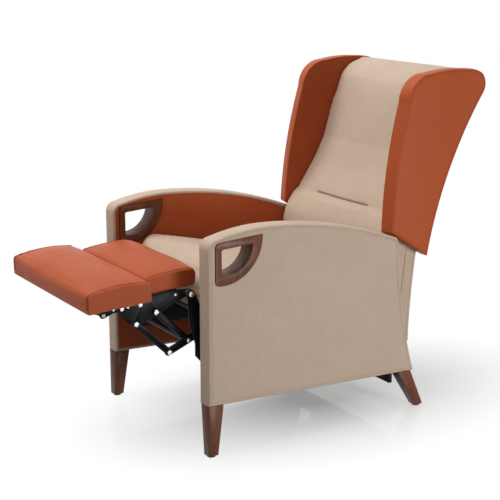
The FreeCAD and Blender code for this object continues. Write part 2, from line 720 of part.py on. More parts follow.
# Footrest brackets, boards and pads
pad_rise = math.tan(math.radians(dim("pad_slope")))


def outer_low(y):
    """Underside of the outer pad and its board."""
    return dim("outer_pad_low") + pad_rise * (y - dim("pad_tip"))


def inner_low(y):
    """Underside of the inner pad and its board."""
    return dim("inner_pad_low") + pad_rise * (y - dim("inner_pad_front"))


flange = dim("plate_thick") - 1
flange_wide = 18
flange_front = dim("pad_tip") + 47
split = dim("pad_split")
inner_front = dim("inner_pad_front")
bracket_start = (-304, 466)
bracket_steps = [
    ("line", (-309, 474)),
    ("line", (flange_front, outer_low(flange_front) - flange)),
    ("line", (split - 3, outer_low(split - 3) - flange)),
    ("line", (inner_front + 6, inner_low(inner_front + 6) - flange)),
    ("line", (-40, inner_low(-40) - flange)),
    ("line", (hinge[0] + 8, hinge[1] + 9.8)),
    ("arc", (hinge[0] + 10, hinge[1] - 7.8), (hinge[0] - 4, hinge[1] - 12)),
    ("line", (upper_strut[0] + 4, upper_strut[1] - 11)),
    ("line", (strut[0] + 4, strut[1] - 11)),
    ("arc", (strut[0] - 10, strut[1] - 5.5), (strut[0] - 8, strut[1] + 8)),
    ("line", (-232, 462)),
]
flange_in = ROCKER_INNER + f" - {flange_wide}"
for side, word in SIDES:
    web = plate("bracket_web_" + word, side, ROCKER_INNER, "Dims.plate_thick", bracket_start,
                bracket_steps, ((*hinge, loose_hinge), (*strut, rivet_hole),
                                (*upper_strut, rivet_hole)), False)
    outer_flange = plate("bracket_outer_flange_" + word, side, flange_in, f"{flange_wide + 1}",
                         (flange_front, outer_low(flange_front) - flange),
                         line_steps((flange_front, outer_low(flange_front)),
                                    (split - 8, outer_low(split - 8)),
                                    (split - 8, outer_low(split - 8) - flange)), (), False)
    inner_flange = plate("bracket_inner_flange_" + word, side, flange_in, f"{flange_wide + 1}",
                         (inner_front + 8, inner_low(inner_front + 8) - flange),
                         line_steps((inner_front + 8, inner_low(inner_front + 8)),
                                    (-42, inner_low(-42)), (-42, inner_low(-42) - flange)), (), False)
    fused("footrest_bracket_" + word, [web, outer_flange, inner_flange])

tie = rod("tie_bar", LEFT, -rocker_inner, rocker_inner, -222, outer_low(-222) - 14,
          "Dims.tie_dia / 2")
keep(tie, "footrest_cross_tube")

PLATE_RIVETS = ((-296, 473, 3), (-249, 474, 4), (-222, 471, 6), (-203, 474, 4), (-163, 474, 6),
                (-48, 487, 4))
fixed_rivets = []
for side, word in SIDES:
    for number, (y, z, radius) in enumerate(PLATE_RIVETS):
        fixed_rivets.append(rod(f"plate_rivet_{word}_{number}", side, rocker_outer,
                                rocker_outer + 2, y, z, f"{radius}"))
group("bracket_rivets", [rivet(f"strut_rivet_{word}", side, strut) for side, word in SIDES]
      + [rivet(f"upper_rivet_{word}", side, upper_strut) for side, word in SIDES] + fixed_rivets)

board_tall = dim("pad_board")
board_edge = dim("board_inset")


def pad_board(label, half, front, rear, low):
    """A board let into the underside of a pad."""
    y0 = front + board_edge
    y1 = rear - board_edge
    return across(label, f"{half} - Dims.board_inset", (y0, low(y0)),
                  line_steps((y0, low(y0) + board_tall), (y1, low(y1) + board_tall), (y1, low(y1))))


outer_board = pad_board("outer_pad_board", f"({ARM_INNER} - Dims.pad_gap)", dim("pad_tip"), split,
                        outer_low)
inner_board = pad_board("inner_pad_board", f"({ARM_INNER} - Dims.pad_gap - Dims.inner_pad_inset)",
                        inner_front, dim("pad_heel"), inner_low)


def outer_pad_profile(share):
    """Outer pad outline: flat underside, crowned top, round front edge."""
    pull = share ** 4
    tip = dim("pad_tip")
    rear = split - 1
    low = outer_low(tip + 2 * pull + 2)
    rear_low = outer_low(rear)
    high = outer_low(tip) + dim("outer_pad_tall") - 2
    rear_high = outer_low(rear) + dim("outer_pad_tall") - 7 + 7 * (1 - pull)
    crown = dim("pad_crown") + 12 * (1 - pull)
    start = (tip + 2 * pull + 2, low)
    steps = [
        ("line", (tip + 2 * pull, high - 16)),
        ("arc", (tip + 4 + 2 * pull, high - 5), (tip + 15, high)),
        ("arc", ((tip + rear) / 2, (high + rear_high) / 2 + crown), (rear - 10, rear_high + 3)),
        ("arc", (rear - 3, rear_high), (rear, rear_high - 9)),
        ("line", (rear, rear_low)),
    ]
    return start, steps


def inner_pad_profile(share):
    """Inner pad outline: flat underside, crowned top, round rear edge."""
    pull = share ** 4
    front = inner_front + 3 * pull
    heel = dim("pad_heel")
    low = inner_low(front)
    rear_low = inner_low(heel)
    high = inner_low(front) + dim("inner_pad_tall") - 7 + 8 * (1 - pull)
    rear_high = inner_low(heel) + dim("inner_pad_tall") - 1 + 11 * (1 - pull)
    crown = 3 + 7 * (1 - pull)
    start = (front, low)
    steps = [
        ("line", (front, high - 10)),
        ("arc", (front + 3, high - 3), (front + 10, high + 2)),
        ("arc", ((front + heel) / 2, (high + rear_high) / 2 + crown), (heel - 14, rear_high)),
        ("arc", (heel - 3, rear_high - 6), (heel + 2, rear_high - 22)),
        ("line", (heel, rear_low)),
    ]
    return start, steps


cut("footrest_outer_pad", pillow("outer_pad_solid", pad_half, outer_pad_profile, CUSHION_STATIONS,
                                 show=False), [outer_board])
cut("footrest_inner_pad", pillow("inner_pad_solid", inner_pad_half, inner_pad_profile,
                                 CUSHION_STATIONS, show=False), [inner_board])

# Backrest: rear line, frame, panel, cushions and wings
low_end = (dim("back_low_y"), dim("back_low"))
bend = (dim("back_bend_y"), dim("back_bend"))
high_end = (dim("back_high_y"), dim("back_high"))
low_mid = ((low_end[0] + bend[0]) / 2 - 4, (low_end[1] + bend[1]) / 2)
high_mid = (dim("back_mid_y"), (bend[1] + high_end[1]) / 2 + 10)
low_arc = circle_through(low_end, low_mid, bend)
high_arc = circle_through(bend, high_mid, high_end)


def rear_y(z, forward=0.0):
    """The back's rear face at a height, or a line that much in front of it."""
    cy, cz, radius = low_arc if z <= bend[1] else high_arc
    reach = math.sqrt(radius ** 2 - (z - cz) ** 2)
    side = -1 if cy > bend[0] else 1
    return cy + side * reach - forward


def climb(offset, low, high):
    """Arcs along the rear line between two heights: each one's middle, upper and lower point."""
    path = []
    spans = ((low, bend[1]), (bend[1], high)) if low < bend[1] < high else ((low, high),)
    for lower, upper in spans:
        middle = (lower + upper) / 2
        path.append(((rear_y(middle, offset), middle), (rear_y(upper, offset), upper),
                     (rear_y(lower, offset), lower)))
    return path


def strip_outline(ahead, behind, z_low, z_high):
    """A strip that follows the rear line, from ahead to behind it."""
    start = (rear_y(z_low, ahead), z_low)
    steps = [("arc", middle, upper) for middle, upper, _ in climb(ahead, z_low, z_high)]
    steps.append(("line", (rear_y(z_high, behind), z_high)))
    steps += [("arc", middle, lower) for middle, _, lower in reversed(climb(behind, z_low, z_high))]
    return start, steps


frame_ahead = dim("panel_thick") + dim("cheek_deep")
frame_top_z = 1000
cheek_low = 240
cheeks = [plate("back_cheek_" + word, side, CHEEK_INNER, "Dims.cheek_thick",
                *strip_outline(frame_ahead, dim("panel_thick"), cheek_low, frame_top_z))
          for side, word in SIDES]

side_low = max(dim("side_low"), cheek_low)
side_start = (rear_y(side_low, frame_ahead), side_low)
side_steps = [("arc", middle, upper) for middle, upper, _ in climb(frame_ahead, side_low,
                                                                   dim("side_high"))]
side_steps += line_steps((dim("side_high_y"), dim("side_high")), (dim("side_low_y"), side_low))
side_panels = [plate("back_side_" + word, side, CHEEK_INNER, "Dims.cheek_thick", side_start,
                     side_steps, (), False) for side, word in SIDES]
group("back_side_panels", side_panels)

back_rails = []
for label, z_low, z_high in (("back_lower_rail", 250, 290), ("back_middle_rail", 585, 620),
                             ("back_top_rail", 955, 995)):
    back_rails.append(across(label, CHEEK_INNER,
                             *strip_outline(frame_ahead - 2, dim("panel_thick") + 4, z_low, z_high),
                             show=False))
group("back_cross_rails", back_rails)

rear_panel = across("rear_panel", BACK_HALF + " - 2",
                    *strip_outline(dim("panel_thick"), 0, dim("back_low"), frame_top_z))

bands = []
for number, z in enumerate((600, 690, 780, 870)):
    bands.append(across(f"back_band_{number}", CHEEK_INNER,
                        *strip_outline(frame_ahead, frame_ahead - dim("web_thick"), z,
                                       z + dim("web_wide")), show=False))
group("back_webbing", bands)

bracket_wide = 34
bracket_high = 560
bracket_top = (rear_y(bracket_high, frame_ahead - bracket_wide / 2), bracket_high)
bracket_in = CHEEK_INNER + " - Dims.plate_thick - 1"
recline_arms = []
for side, word in SIDES:
    recline_arms.append(plate("recline_arm_" + word, side, bracket_in, "Dims.plate_thick + 1",
                              *link_steps(recline, bracket_top, bracket_wide),
                              ((*recline, loose_recline),), False))
group("recline_brackets", recline_arms)


front_low = (dim("front_low_y"), dim("slit_height"))
front_mid = (dim("front_mid_y"), dim("front_mid"))
front_high = (dim("front_high_y"), dim("front_high"))
front_low_arc = circle_through(front_low, ((front_low[0] + front_mid[0]) / 2 + 5.4,
                                           (front_low[1] + front_mid[1]) / 2), front_mid)
front_high_arc = circle_through(front_mid, ((front_mid[0] + front_high[0]) / 2 - 2.6,
                                            (front_mid[1] + front_high[1]) / 2), front_high)


def front_y(z):
    """The back cushion's front face at a height, at its sides."""
    cy, cz, radius = front_low_arc if z <= front_mid[1] else front_high_arc
    reach = math.sqrt(radius ** 2 - (z - cz) ** 2)
    side = -1 if cy > front_mid[0] else 1
    return cy + side * reach


frame_front = frame_ahead + 0.5


def lumbar_profile(share):
    """Lumbar pillow outline: full front, tucked under the back cushion."""
    pull = share ** 4
    swell = dim("back_crown") * (1 - pull)
    z0 = dim("lumbar_low")
    z1 = dim("slit_height") - 2
    start = (dim("seat_rear") + 18, z0)
    steps = [
        ("arc", (651 - 0.5 * swell, (z0 + z1 - 97) / 2), (657 - swell, z1 - 97)),
        ("arc", (676 - swell, z1 - 43), (700 - 0.6 * swell, z1 - 13)),
        ("arc", (712, z1 - 4), (dim("front_low_y") + 6, z1)),
        ("line", (rear_y(z1, frame_front), z1)),
    ]
    steps += [("arc", middle, lower) for middle, _, lower in reversed(climb(frame_front, z0, z1))]
    return start, steps


def back_profile(share):
    """Back cushion outline: crowned front, rolled over the frame's top."""
    pull = share ** 4
    swell = dim("back_crown") * (1 - pull)
    z0 = dim("slit_height")
    z1 = (z0 + front_mid[1]) / 2
    z2 = (front_mid[1] + front_high[1]) / 2
    top = dim("back_top")
    rear_top = (rear_y(dim("back_high")) - 1, dim("back_high"))
    start = (front_low[0] - 0.3 * swell, z0 + 1)
    steps = [
        ("arc", (front_y(z1) - 0.8 * swell, z1), (front_mid[0] - swell, front_mid[1])),
        ("arc", (front_y(z2) - swell, z2), (front_high[0] - swell, front_high[1])),
        ("arc", (front_high[0] + 24 - 0.6 * swell, top - 28), (front_high[0] + 76, top - 6)),
        ("arc", (rear_top[0] - 44, top), (rear_top[0] - 22, top - 5)),
        ("arc", (rear_top[0] - 3, top - 24), rear_top),
        ("line", (rear_y(frame_top_z), frame_top_z + 0.5)),
        ("line", (rear_y(frame_top_z, frame_front), frame_top_z + 0.5)),
    ]
    steps += [("arc", middle, lower) for middle, _, lower in reversed(climb(frame_front, z0 + 1,
                                                                           frame_top_z))]
    return start, steps


BACK_STATIONS = (-1, -0.88, -0.55, 0, 0.55, 0.88, 1)
lumbar_half = back_half - 1.5
lumbar_solid = pillow("lumbar_solid", lumbar_half, lumbar_profile, BACK_STATIONS, show=False)
back_solid = pillow("back_solid", lumbar_half, back_profile, BACK_STATIONS, show=False)
bracket_rooms = []
for side, word in SIDES:
    bracket_rooms.append(plate("bracket_room_" + word, side, bracket_in + " - 0.5",
                               f"{bracket_wide}", *link_steps(recline, bracket_top, bracket_wide + 1),
                               show=False))
wing_foot = dim("arm_outer") - dim("wing_inset")
wing_tilt = math.degrees(math.atan2(dim("wing_lean"), dim("wing_top") - dim("wing_heel")))


def wing_outline(inset, slant=0.0):
    """Wing outline, drawn in by inset on all sides and by slant along its front."""
    front = dim("wing_low_y") + inset + slant
    top = dim("wing_top") - inset
    low_front = (front, dim("wing_low") + 0.6 * inset)
    heel_z = dim("wing_heel") + 1.4 * inset
    heel = (rear_y(heel_z, inset - dim("wing_proud") + 11), heel_z)
    high_z = dim("back_high")
    high = (rear_y(high_z, inset - dim("wing_proud") + 4), high_z)
    middle = (dim("wing_low") + top - 95) / 2
    rear_middle = (heel_z + high_z) / 2
    steps = [
        ("line", low_front),
        ("arc", (front + 19, middle), (front + 64, top - 95)),
        ("arc", (front + 93 - 0.3 * (inset + slant), top - 33), (dim("wing_low_y") + 160, top - 8)),
        ("arc", (dim("back_high_y") - 141, top), (dim("back_high_y") - 51, top - 2)),
        ("arc", (dim("back_high_y") - 18 - 0.4 * inset, top - 6),
         (dim("back_high_y") + 6 - 0.8 * inset, top - 17)),
        ("arc", (dim("back_high_y") + 20 - inset, top - 43), high),
        ("arc", (rear_y(rear_middle, inset - dim("wing_proud")), rear_middle), heel),
    ]
    return heel, steps


def leaning(x, lean_z, start, steps):
    """A wing's section at a distance from the middle plane, leaning in above a height."""
    face = section(x, start, steps)
    face.rotate(at(0, lean_z, x), V(0, 1, 0), -math.copysign(wing_tilt, x))
    return face


wing_boards = []
wing_shells = []
for number, (side, word) in enumerate(SIDES):
    faces = [leaning(side * back_half, dim("wing_low"), *wing_outline(0)),
             leaning(side * wing_foot, dim("wing_heel"), *wing_outline(0, dim("wing_slant")))]
    shell = shaped("wing_shell_" + word, Part.makeLoft(faces, True, True), False)
    board_in = f"({BACK_HALF} + Dims.wing_board)"
    board = plate("wing_ply_" + word, side, board_in, "Dims.wing_board",
                  *wing_outline(dim("wing_cover")), show=False)
    wing_shells.append(shell)
    wing_boards.append(board)
    cut("wing_pad_" + word, shell, [board, cheeks[number], rear_panel])
group("wing_boards", wing_boards)
cut("lumbar_pillow", lumbar_solid, bracket_rooms + side_panels + wing_shells)
cut("back_cushion", back_solid, wing_shells)

doc.recompute()

labels = [thing.Label for thing in parts]
assert len(set(labels)) == len(labels), "two sub-parts share a label"
for thing in doc.Objects:
    assert "Invalid" not in thing.State and "Error" not in thing.State, f"{thing.Label} failed"
for thing in parts:
    shape = thing.Shape
    assert not shape.isNull() and shape.isValid() and shape.Solids, f"{thing.Label} is no solid"

os.makedirs("parts", exist_ok=True)
for thing in parts:
    thing.Shape.exportStep(f"parts/{thing.Label}.step")

whole = Part.Compound([thing.Shape for thing in parts]).BoundBox
print(f"{len(parts)} sub-parts, X {whole.XMin:.1f} to {whole.XMax:.1f}, "
      f"Y {whole.YMin:.1f} to {whole.YMax:.1f}, Z {whole.ZMin:.1f} to {whole.ZMax:.1f}")
print(f"torque tube at {torque[0]:.2f}, {torque[1]:.2f}; upper pivots {upper_strut}, {upper_knee}")
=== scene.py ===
"""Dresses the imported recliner: covers, seams, wood, steel, floor, lamps and camera.

Metres, +Z up, the sitter faces -Y. Every piece rides on the body that carries it.
"""

import json
import math
from contextlib import contextmanager

import bmesh
import bpy
import numpy as np
from bpy.props import FloatProperty, FloatVectorProperty, IntProperty, PointerProperty
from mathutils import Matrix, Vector, geometry, kdtree
from mathutils.bvhtree import BVHTree


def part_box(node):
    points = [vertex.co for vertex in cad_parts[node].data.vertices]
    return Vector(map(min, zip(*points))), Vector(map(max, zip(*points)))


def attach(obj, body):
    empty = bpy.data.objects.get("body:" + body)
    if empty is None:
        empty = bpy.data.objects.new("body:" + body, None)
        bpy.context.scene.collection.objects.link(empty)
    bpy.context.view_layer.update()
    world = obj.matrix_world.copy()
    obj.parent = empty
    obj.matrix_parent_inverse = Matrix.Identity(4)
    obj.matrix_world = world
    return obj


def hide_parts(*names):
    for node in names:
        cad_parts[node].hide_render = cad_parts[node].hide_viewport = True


bl_info = {
    "name": "Recliner dressing",
    "version": (1, 0, 0),
    "blender": (4, 5, 0),
    "location": "View3D > Sidebar > Recliner",
    "description": "Upholstery, wood, steel and studio for a packed wing-back recliner",
    "category": "Object",
}

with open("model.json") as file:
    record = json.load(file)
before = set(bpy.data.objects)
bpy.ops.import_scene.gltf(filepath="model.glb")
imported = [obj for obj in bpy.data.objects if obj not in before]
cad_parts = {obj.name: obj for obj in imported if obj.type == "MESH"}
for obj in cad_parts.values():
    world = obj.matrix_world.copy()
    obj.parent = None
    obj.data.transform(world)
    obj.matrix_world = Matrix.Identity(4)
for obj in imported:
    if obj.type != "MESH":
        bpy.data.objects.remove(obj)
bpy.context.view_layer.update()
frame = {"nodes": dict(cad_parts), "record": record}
NODES = frame["nodes"]
SIDES = (("left", 1), ("right", -1))
ARM_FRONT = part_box("arm_outer_pad_left")[0].y
PANEL_EDGE = 0.0032    # radius of a stuffed panel's edges
ARM_PANEL = 0.016      # depth of the arms' panels
OUTLINE_STEP = 0.008   # from point to point along a board's outline
SEAM_STEP = 0.006      # and along a seam
ROW_GAP = 0.0052       # from a seam to its row of stitches
THREAD_LIFT = 0.0001   # from a cover's face to the middle of the thread
BOARD_FILL = 0.8       # how full the covers on boards are
CLOTH_FRAMES = 20      # length of the cloth run
SAME = 1e-7            # points closer than this are one


def colour(name, text, value):
    return FloatVectorProperty(name=name, description=text, subtype="COLOR", size=3, min=0, max=1,
                               default=value)


def length(name, text, value):
    return FloatProperty(name=name, description=text, unit="LENGTH", subtype="DISTANCE",
                         default=value, min=0, max=1, precision=5)


def number(name, text, value, high, low=0, **more):
    return FloatProperty(name=name, description=text, default=value, min=low, max=high, **more)


class ReclinerCovers(bpy.types.PropertyGroup):
    """Sizes of the covers and their seams"""
    voxel: length("Cloth mesh", "Edge of the mesh that the stuffed pieces are blown up on", 0.006)
    slack: length("Slack", "How much smaller a stuffed piece is before it is blown up", 0.005)
    swell: length("Swell", "Most that a point of a stuffed piece moves", 0.024)
    band_round: length("Band edge", "Radius of the covers' rounded edges", 0.006)
    seam_inset: length("Seam inset", "Seam from the edge of an arm", 0.008)
    arm_crown: length("Arm crown", "Fullness of the arms' faces", 0.0016)
    wing_crown: length("Wing crown", "Fullness of the wings' faces", 0.0035)
    wing_seam: length("Wing seam", "Seam from the edge of a wing", 0.0042)
    wing_round: length("Wing edge", "Radius of the wings' rounded edges", 0.0036)
    welt: length("Welt", "Radius of the welts", 0.0013)
    pad_welt: length("Pad welt", "Radius of the welts on the footrest's pads", 0.0011)
    stitch: length("Stitch", "Length of a stitch", 0.0042)
    stitch_pitch: length("Stitch pitch", "From one stitch to the next", 0.0056)
    thread: length("Thread", "Radius of the thread", 0.00042)
    slit_depth: length("Slit depth", "Depth of the tuck above the lumbar pillow", 0.012)


class ReclinerFinish(bpy.types.PropertyGroup):
    """Colours and grain of the finishes"""
    beige: colour("Beige leatherette", "Arms, seat and back", (0.61, 0.470, 0.358))
    rust: colour("Rust leatherette", "Footrest, wings and inner arms", (0.475, 0.094, 0.029))
    walnut: colour("Walnut", "Legs and grips", (0.150, 0.048, 0.019))
    ply: colour("Ply", "Boards and rails inside", (0.55, 0.38, 0.22))
    steel: colour("Black steel", "Mechanism", (0.004, 0.004, 0.006))
    zinc: colour("Zinc", "Rivets, pins and bolts", (0.74, 0.74, 0.75))
    grain: number("Leather grain", "Grain cells to a metre", 620.0, 3000, 50)


class ReclinerStudio(bpy.types.PropertyGroup):
    """Lamps, floor and camera"""
    ambient: number("Ambient", "Strength of the light from all round", 0.28, 5)
    key: number("Key", "Power of the large lamp above", 96.0, 2000, unit="POWER")
    side: number("Side", "Power of the low lamp at the sitter's left", 58.0, 2000, unit="POWER")
    fill: number("Fill", "Power of the lamp in front", 13.0, 2000, unit="POWER")
    lens: number("Lens", "Focal length", 89.735, 300, 10, unit="CAMERA")
    turn: FloatProperty(name="Turn", description="Camera's turn about the vertical",
                        subtype="ANGLE", default=math.radians(57.5))
    tip: FloatProperty(name="Tip", description="Camera's downward tilt", subtype="ANGLE",
                       default=math.radians(13.9))
    seed: IntProperty(name="Seed", description="Seed of the small random differences", default=7,
                      min=0)


def covers():
    return bpy.context.scene.recliner_covers


def finish():
    return bpy.context.scene.recliner_finish


def studio():
    return bpy.context.scene.recliner_studio


# Node trees and materials

def once(kept):
    """Make a material or node group under its name, and find it again when it is there."""
    def wrap(make):
        def found(name, *given, **more):
            return getattr(bpy.data, kept).get(name) or make(name, *given, **more)
        return found
    return wrap


def wire(tree, node, inputs):
    """Give a node's inputs their sockets or values."""
    for key, value in inputs.items():
        if isinstance(value, bpy.types.NodeSocket):
            tree.links.new(value, node.inputs[key])
        else:
            node.inputs[key].default_value = value
    return node


def add(tree, kind, inputs=None, **settings):
    node = tree.nodes.new(kind)
    for key, value in settings.items():
        setattr(node, key, value)
    return wire(tree, node, inputs or {})


def new_group(name, inputs, outputs):
    """A shader node group with named numbers as inputs and outputs, and its Object coordinates."""
    tree = bpy.data.node_groups.new(name, "ShaderNodeTree")
    for label, value in inputs.items():
        socket = tree.interface.new_socket(label, in_out="INPUT", socket_type="NodeSocketFloat")
        socket.default_value = value
    for label in outputs:
        tree.interface.new_socket(label, in_out="OUTPUT", socket_type="NodeSocketFloat")
    return (tree, tree.nodes.new("NodeGroupInput").outputs, tree.nodes.new("NodeGroupOutput"),
            object_place(tree))


def object_place(tree):
    return add(tree, "ShaderNodeTexCoord").outputs["Object"]


def calc(tree, operation, *values):
    """The result of a Math node whose inputs are sockets or numbers."""
    return add(tree, "ShaderNodeMath", dict(enumerate(values)), operation=operation).outputs[0]


def noise(tree, vector, scale, detail=2.0, rough=0.5):
    return add(tree, "ShaderNodeTexNoise", {"Vector": vector, "Scale": scale, "Detail": detail,
                                            "Roughness": rough}).outputs["Fac"]


def ranged(tree, value, low, high, to_low, to_high):
    return add(tree, "ShaderNodeMapRange", {"Value": value, "From Min": low, "From Max": high,
                                            "To Min": to_low,
                                            "To Max": to_high}).outputs["Result"]


def mixed(tree, factor, first, second):
    """A colour between two colours; each is a tuple or a socket."""
    return add(tree, "ShaderNodeMix", {"Factor": factor, "A": first, "B": second},
               data_type="RGBA").outputs["Result"]


def seen(tree):
    """1 for rays that show the backdrop: from the camera, a mirror or through glass."""
    path = add(tree, "ShaderNodeLightPath").outputs
    mirrored = calc(tree, "MAXIMUM", path["Is Glossy Ray"], path["Is Transmission Ray"])
    return calc(tree, "MAXIMUM", path["Is Camera Ray"], mirrored)


def blended(tree, factor, first, second, output):
    """A shader between two shaders, put out."""
    join = add(tree, "ShaderNodeMixShader", {"Fac": factor, 1: first.outputs[0],
                                             2: second.outputs[0]})
    wire(tree, tree.nodes[output], {"Surface": join.outputs[0]})


@once("node_groups")
def leather_group(name):
    """Pebbled grain, soft dents and a mottled tone."""
    tree, given, out, place = new_group(name, {"Grain": 620.0, "Dents": 9.0, "Drift": 5.0},
                                        ("Height", "Tone", "Pores"))
    drift = add(tree, "ShaderNodeTexNoise", {"Scale": 160.0, "Vector": place})
    warp = add(tree, "ShaderNodeVectorMath",
               {0: drift.outputs["Color"], 1: (0.0025, 0.0025, 0.0025), 2: place},
               operation="MULTIPLY_ADD")
    cells = add(tree, "ShaderNodeTexVoronoi",
                {"Smoothness": 0.35, "Vector": warp.outputs[0], "Scale": given["Grain"]},
                feature="SMOOTH_F1")
    pebble = ranged(tree, cells.outputs["Distance"], 0.0, 0.6, 1.0, 0.0)
    fine = noise(tree, place, calc(tree, "MULTIPLY", given["Grain"], 2.7), 3.0)
    dents = noise(tree, place, given["Dents"], 3.0, 0.55)
    grain = calc(tree, "ADD", pebble, calc(tree, "MULTIPLY", fine, 0.5))
    broad = noise(tree, place, given["Drift"], 5.0, 0.6)
    mottle = noise(tree, place, calc(tree, "MULTIPLY", given["Drift"], 3.4), 5.0, 0.65)
    tone = calc(tree, "MULTIPLY", calc(tree, "ADD", broad, mottle), 0.5)
    wire(tree, out, {"Height": calc(tree, "ADD", grain, calc(tree, "MULTIPLY", dents, 9.0)),
                     "Tone": ranged(tree, tone, 0.36, 0.64, 0.0, 1.0),
                     "Pores": ranged(tree, pebble, 0.1, 0.45, 0.0, 1.0)})
    return tree


@once("node_groups")
def wood_group(name):
    """Long straight figure along Z with fine pores."""
    tree, given, out, place = new_group(name, {"Bands": 34.0, "Pores": 900.0},
                                        ("Figure", "Pore", "Height"))
    long = add(tree, "ShaderNodeMapping", {
        "Scale": (1.0, 1.0, 0.08), "Rotation": (0.06, 0.04, 0.2),
        "Vector": place}).outputs["Vector"]
    broad = noise(tree, long, given["Bands"], 4.0, 0.55)
    streak = noise(tree, long, calc(tree, "MULTIPLY", given["Bands"], 7.0), 3.0)
    pores = noise(tree, long, given["Pores"], 2.0)
    figure = calc(tree, "ADD", calc(tree, "MULTIPLY", broad, 0.7),
                  calc(tree, "MULTIPLY", streak, 0.3))
    wire(tree, out, {"Figure": ranged(tree, figure, 0.36, 0.66, 0.0, 1.0),
                     "Pore": ranged(tree, pores, 0.5, 0.72, 0.0, 1.0),
                     "Height": calc(tree, "SUBTRACT", streak, calc(tree, "MULTIPLY", pores, 0.4))})
    return tree


@once("node_groups")
def metal_group(name):
    """Orange peel of a coated or plated surface, with light rubbing."""
    tree, given, out, place = new_group(name, {"Peel": 700.0, "Rub": 40.0}, ("Height", "Rubbed"))
    rub = noise(tree, place, given["Rub"], 6.0, 0.65)
    wire(tree, out, {"Height": noise(tree, place, given["Peel"], 2.0),
                     "Rubbed": ranged(tree, rub, 0.45, 0.75, 0.0, 1.0)})
    return tree


def blank(name):
    """A new material, its tree and its shader."""
    material = bpy.data.materials.new(name)
    material.use_nodes = True
    return material, material.node_tree, material.node_tree.nodes["Principled BSDF"]


def placed(tree, group, **values):
    """A node group's outputs in a material, with the material's own values."""
    return add(tree, "ShaderNodeGroup", values, node_tree=group).outputs


def shade(base, factor):
    return tuple(min(1.0, c * factor) for c in base) + (1.0,)


def bump(tree, height, distance, strength):
    return add(tree, "ShaderNodeBump", {"Distance": distance, "Strength": strength,
                                        "Height": height}).outputs["Normal"]


@once("materials")
def leather(name, base, rough=0.46, drift=5.0):
    material, tree, shader = blank(name)
    grain = placed(tree, leather_group("Leather grain"), Grain=finish().grain, Dents=7.0,
                   Drift=drift)
    drifted = mixed(tree, grain["Tone"], shade(base, 0.83), shade(base, 1.06))
    wire(tree, shader, {
        "Base Color": mixed(tree, grain["Pores"], shade(base, 0.81), drifted),
        "Roughness": ranged(tree, grain["Tone"], 0.0, 1.0, rough + 0.05, rough - 0.05),
        "Specular IOR Level": 0.12,
        "Normal": bump(tree, grain["Height"], 0.00025, 0.45)})
    return material


@once("materials")
def wood(name, base, rough, gloss):
    material, tree, shader = blank(name)
    figure = placed(tree, wood_group("Wood figure"), Bands=34.0, Pores=900.0)
    tone = mixed(tree, figure["Figure"], shade(base, 0.62), shade(base, 1.35))
    wire(tree, shader, {
        "Base Color": mixed(tree, figure["Pore"], tone, shade(base, 0.4)),
        "Roughness": ranged(tree, figure["Figure"], 0.0, 1.0, rough + 0.06, rough - 0.04),
        "Specular IOR Level": 0.18,
        "Coat Weight": gloss,
        "Coat Roughness": 0.22,
        "Normal": bump(tree, figure["Height"], 0.0003, 0.3)})
    return material


@once("materials")
def metal(name, base, rough, metallic, rubbed=1.5, gleam=0.5):
    material, tree, shader = blank(name)
    skin = placed(tree, metal_group("Coated metal"), Peel=700.0, Rub=45.0)
    wire(tree, shader, {
        "Base Color": mixed(tree, skin["Rubbed"], shade(base, 1.0), shade(base, rubbed)),
        "Roughness": ranged(tree, skin["Rubbed"], 0.0, 1.0, rough, rough + 0.14),
        "Metallic": metallic,
        "Specular IOR Level": gleam,
        "Normal": bump(tree, skin["Height"], 0.0002, 0.25)})
    return material


@once("materials")
def woven(name):
    """Elastic webbing: two crossing rows of threads."""
    material, tree, shader = blank(name)
    place = object_place(tree)
    rows = [add(tree, "ShaderNodeTexWave", {"Scale": 160.0, "Distortion": 0.4, "Vector": place},
                wave_type="BANDS", bands_direction=axis).outputs["Fac"] for axis in ("X", "Y")]
    weave = calc(tree, "MULTIPLY", *rows)
    wire(tree, shader, {
        "Base Color": mixed(tree, weave, (0.10, 0.09, 0.08, 1), (0.42, 0.38, 0.32, 1)),
        "Roughness": ranged(tree, weave, 0.0, 1.0, 0.95, 0.75),
        "Normal": bump(tree, weave, 0.0006, 0.6)})
    return material


def beige_leather():
    return leather("Beige leatherette", tuple(finish().beige))


def rust_leather():
    return leather("Rust leatherette", tuple(finish().rust), 0.44, 6.0)


def walnut():
    return wood("Walnut stain", tuple(finish().walnut), 0.4, 0.06)


def ply():
    return wood("Beech ply", tuple(finish().ply), 0.62, 0.0)


def black_steel():
    return metal("Black powder coat", tuple(finish().steel), 0.42, 0.0, gleam=0.12)


def zinc():
    return metal("Bright zinc", tuple(finish().zinc), 0.28, 1.0, 0.85)


def nylon():
    return metal("Black nylon", (0.03, 0.03, 0.032), 0.5, 0.0)


def webbing():
    return woven("Elastic webbing")


def beige_thread():
    return leather("Beige thread", tuple(c * 0.82 for c in finish().beige), 0.6)


def rust_thread():
    return leather("Rust thread", tuple(c * 0.82 for c in finish().rust), 0.6)


# What each slot is made of, and sewn with
MADE = {"beech_ply": ply, "black_steel": black_steel, "zinc_steel": zinc, "nylon": nylon,
        "elastic_webbing": webbing, "walnut": walnut, "beige_leather": beige_leather,
        "rust_leather": rust_leather, "back_cover": beige_leather}
THREADS = {"beige_leather": beige_thread, "rust_leather": rust_thread}


# Mesh helpers

@contextmanager
def edited(mesh, keep=True):
    """A mesh opened for editing; keep writes the edit back."""
    bm = bmesh.new()
    bm.from_mesh(mesh)
    yield bm
    if keep:
        bm.to_mesh(mesh)
    bm.free()


def in_scene(name, data):
    thing = bpy.data.objects.new(name, data)
    bpy.context.scene.collection.objects.link(thing)
    return thing


def link(name, mesh, *materials):
    """A mesh in the scene, with its materials."""
    mesh.materials.clear()
    for material in materials:
        mesh.materials.append(material)
    return in_scene(name, mesh)


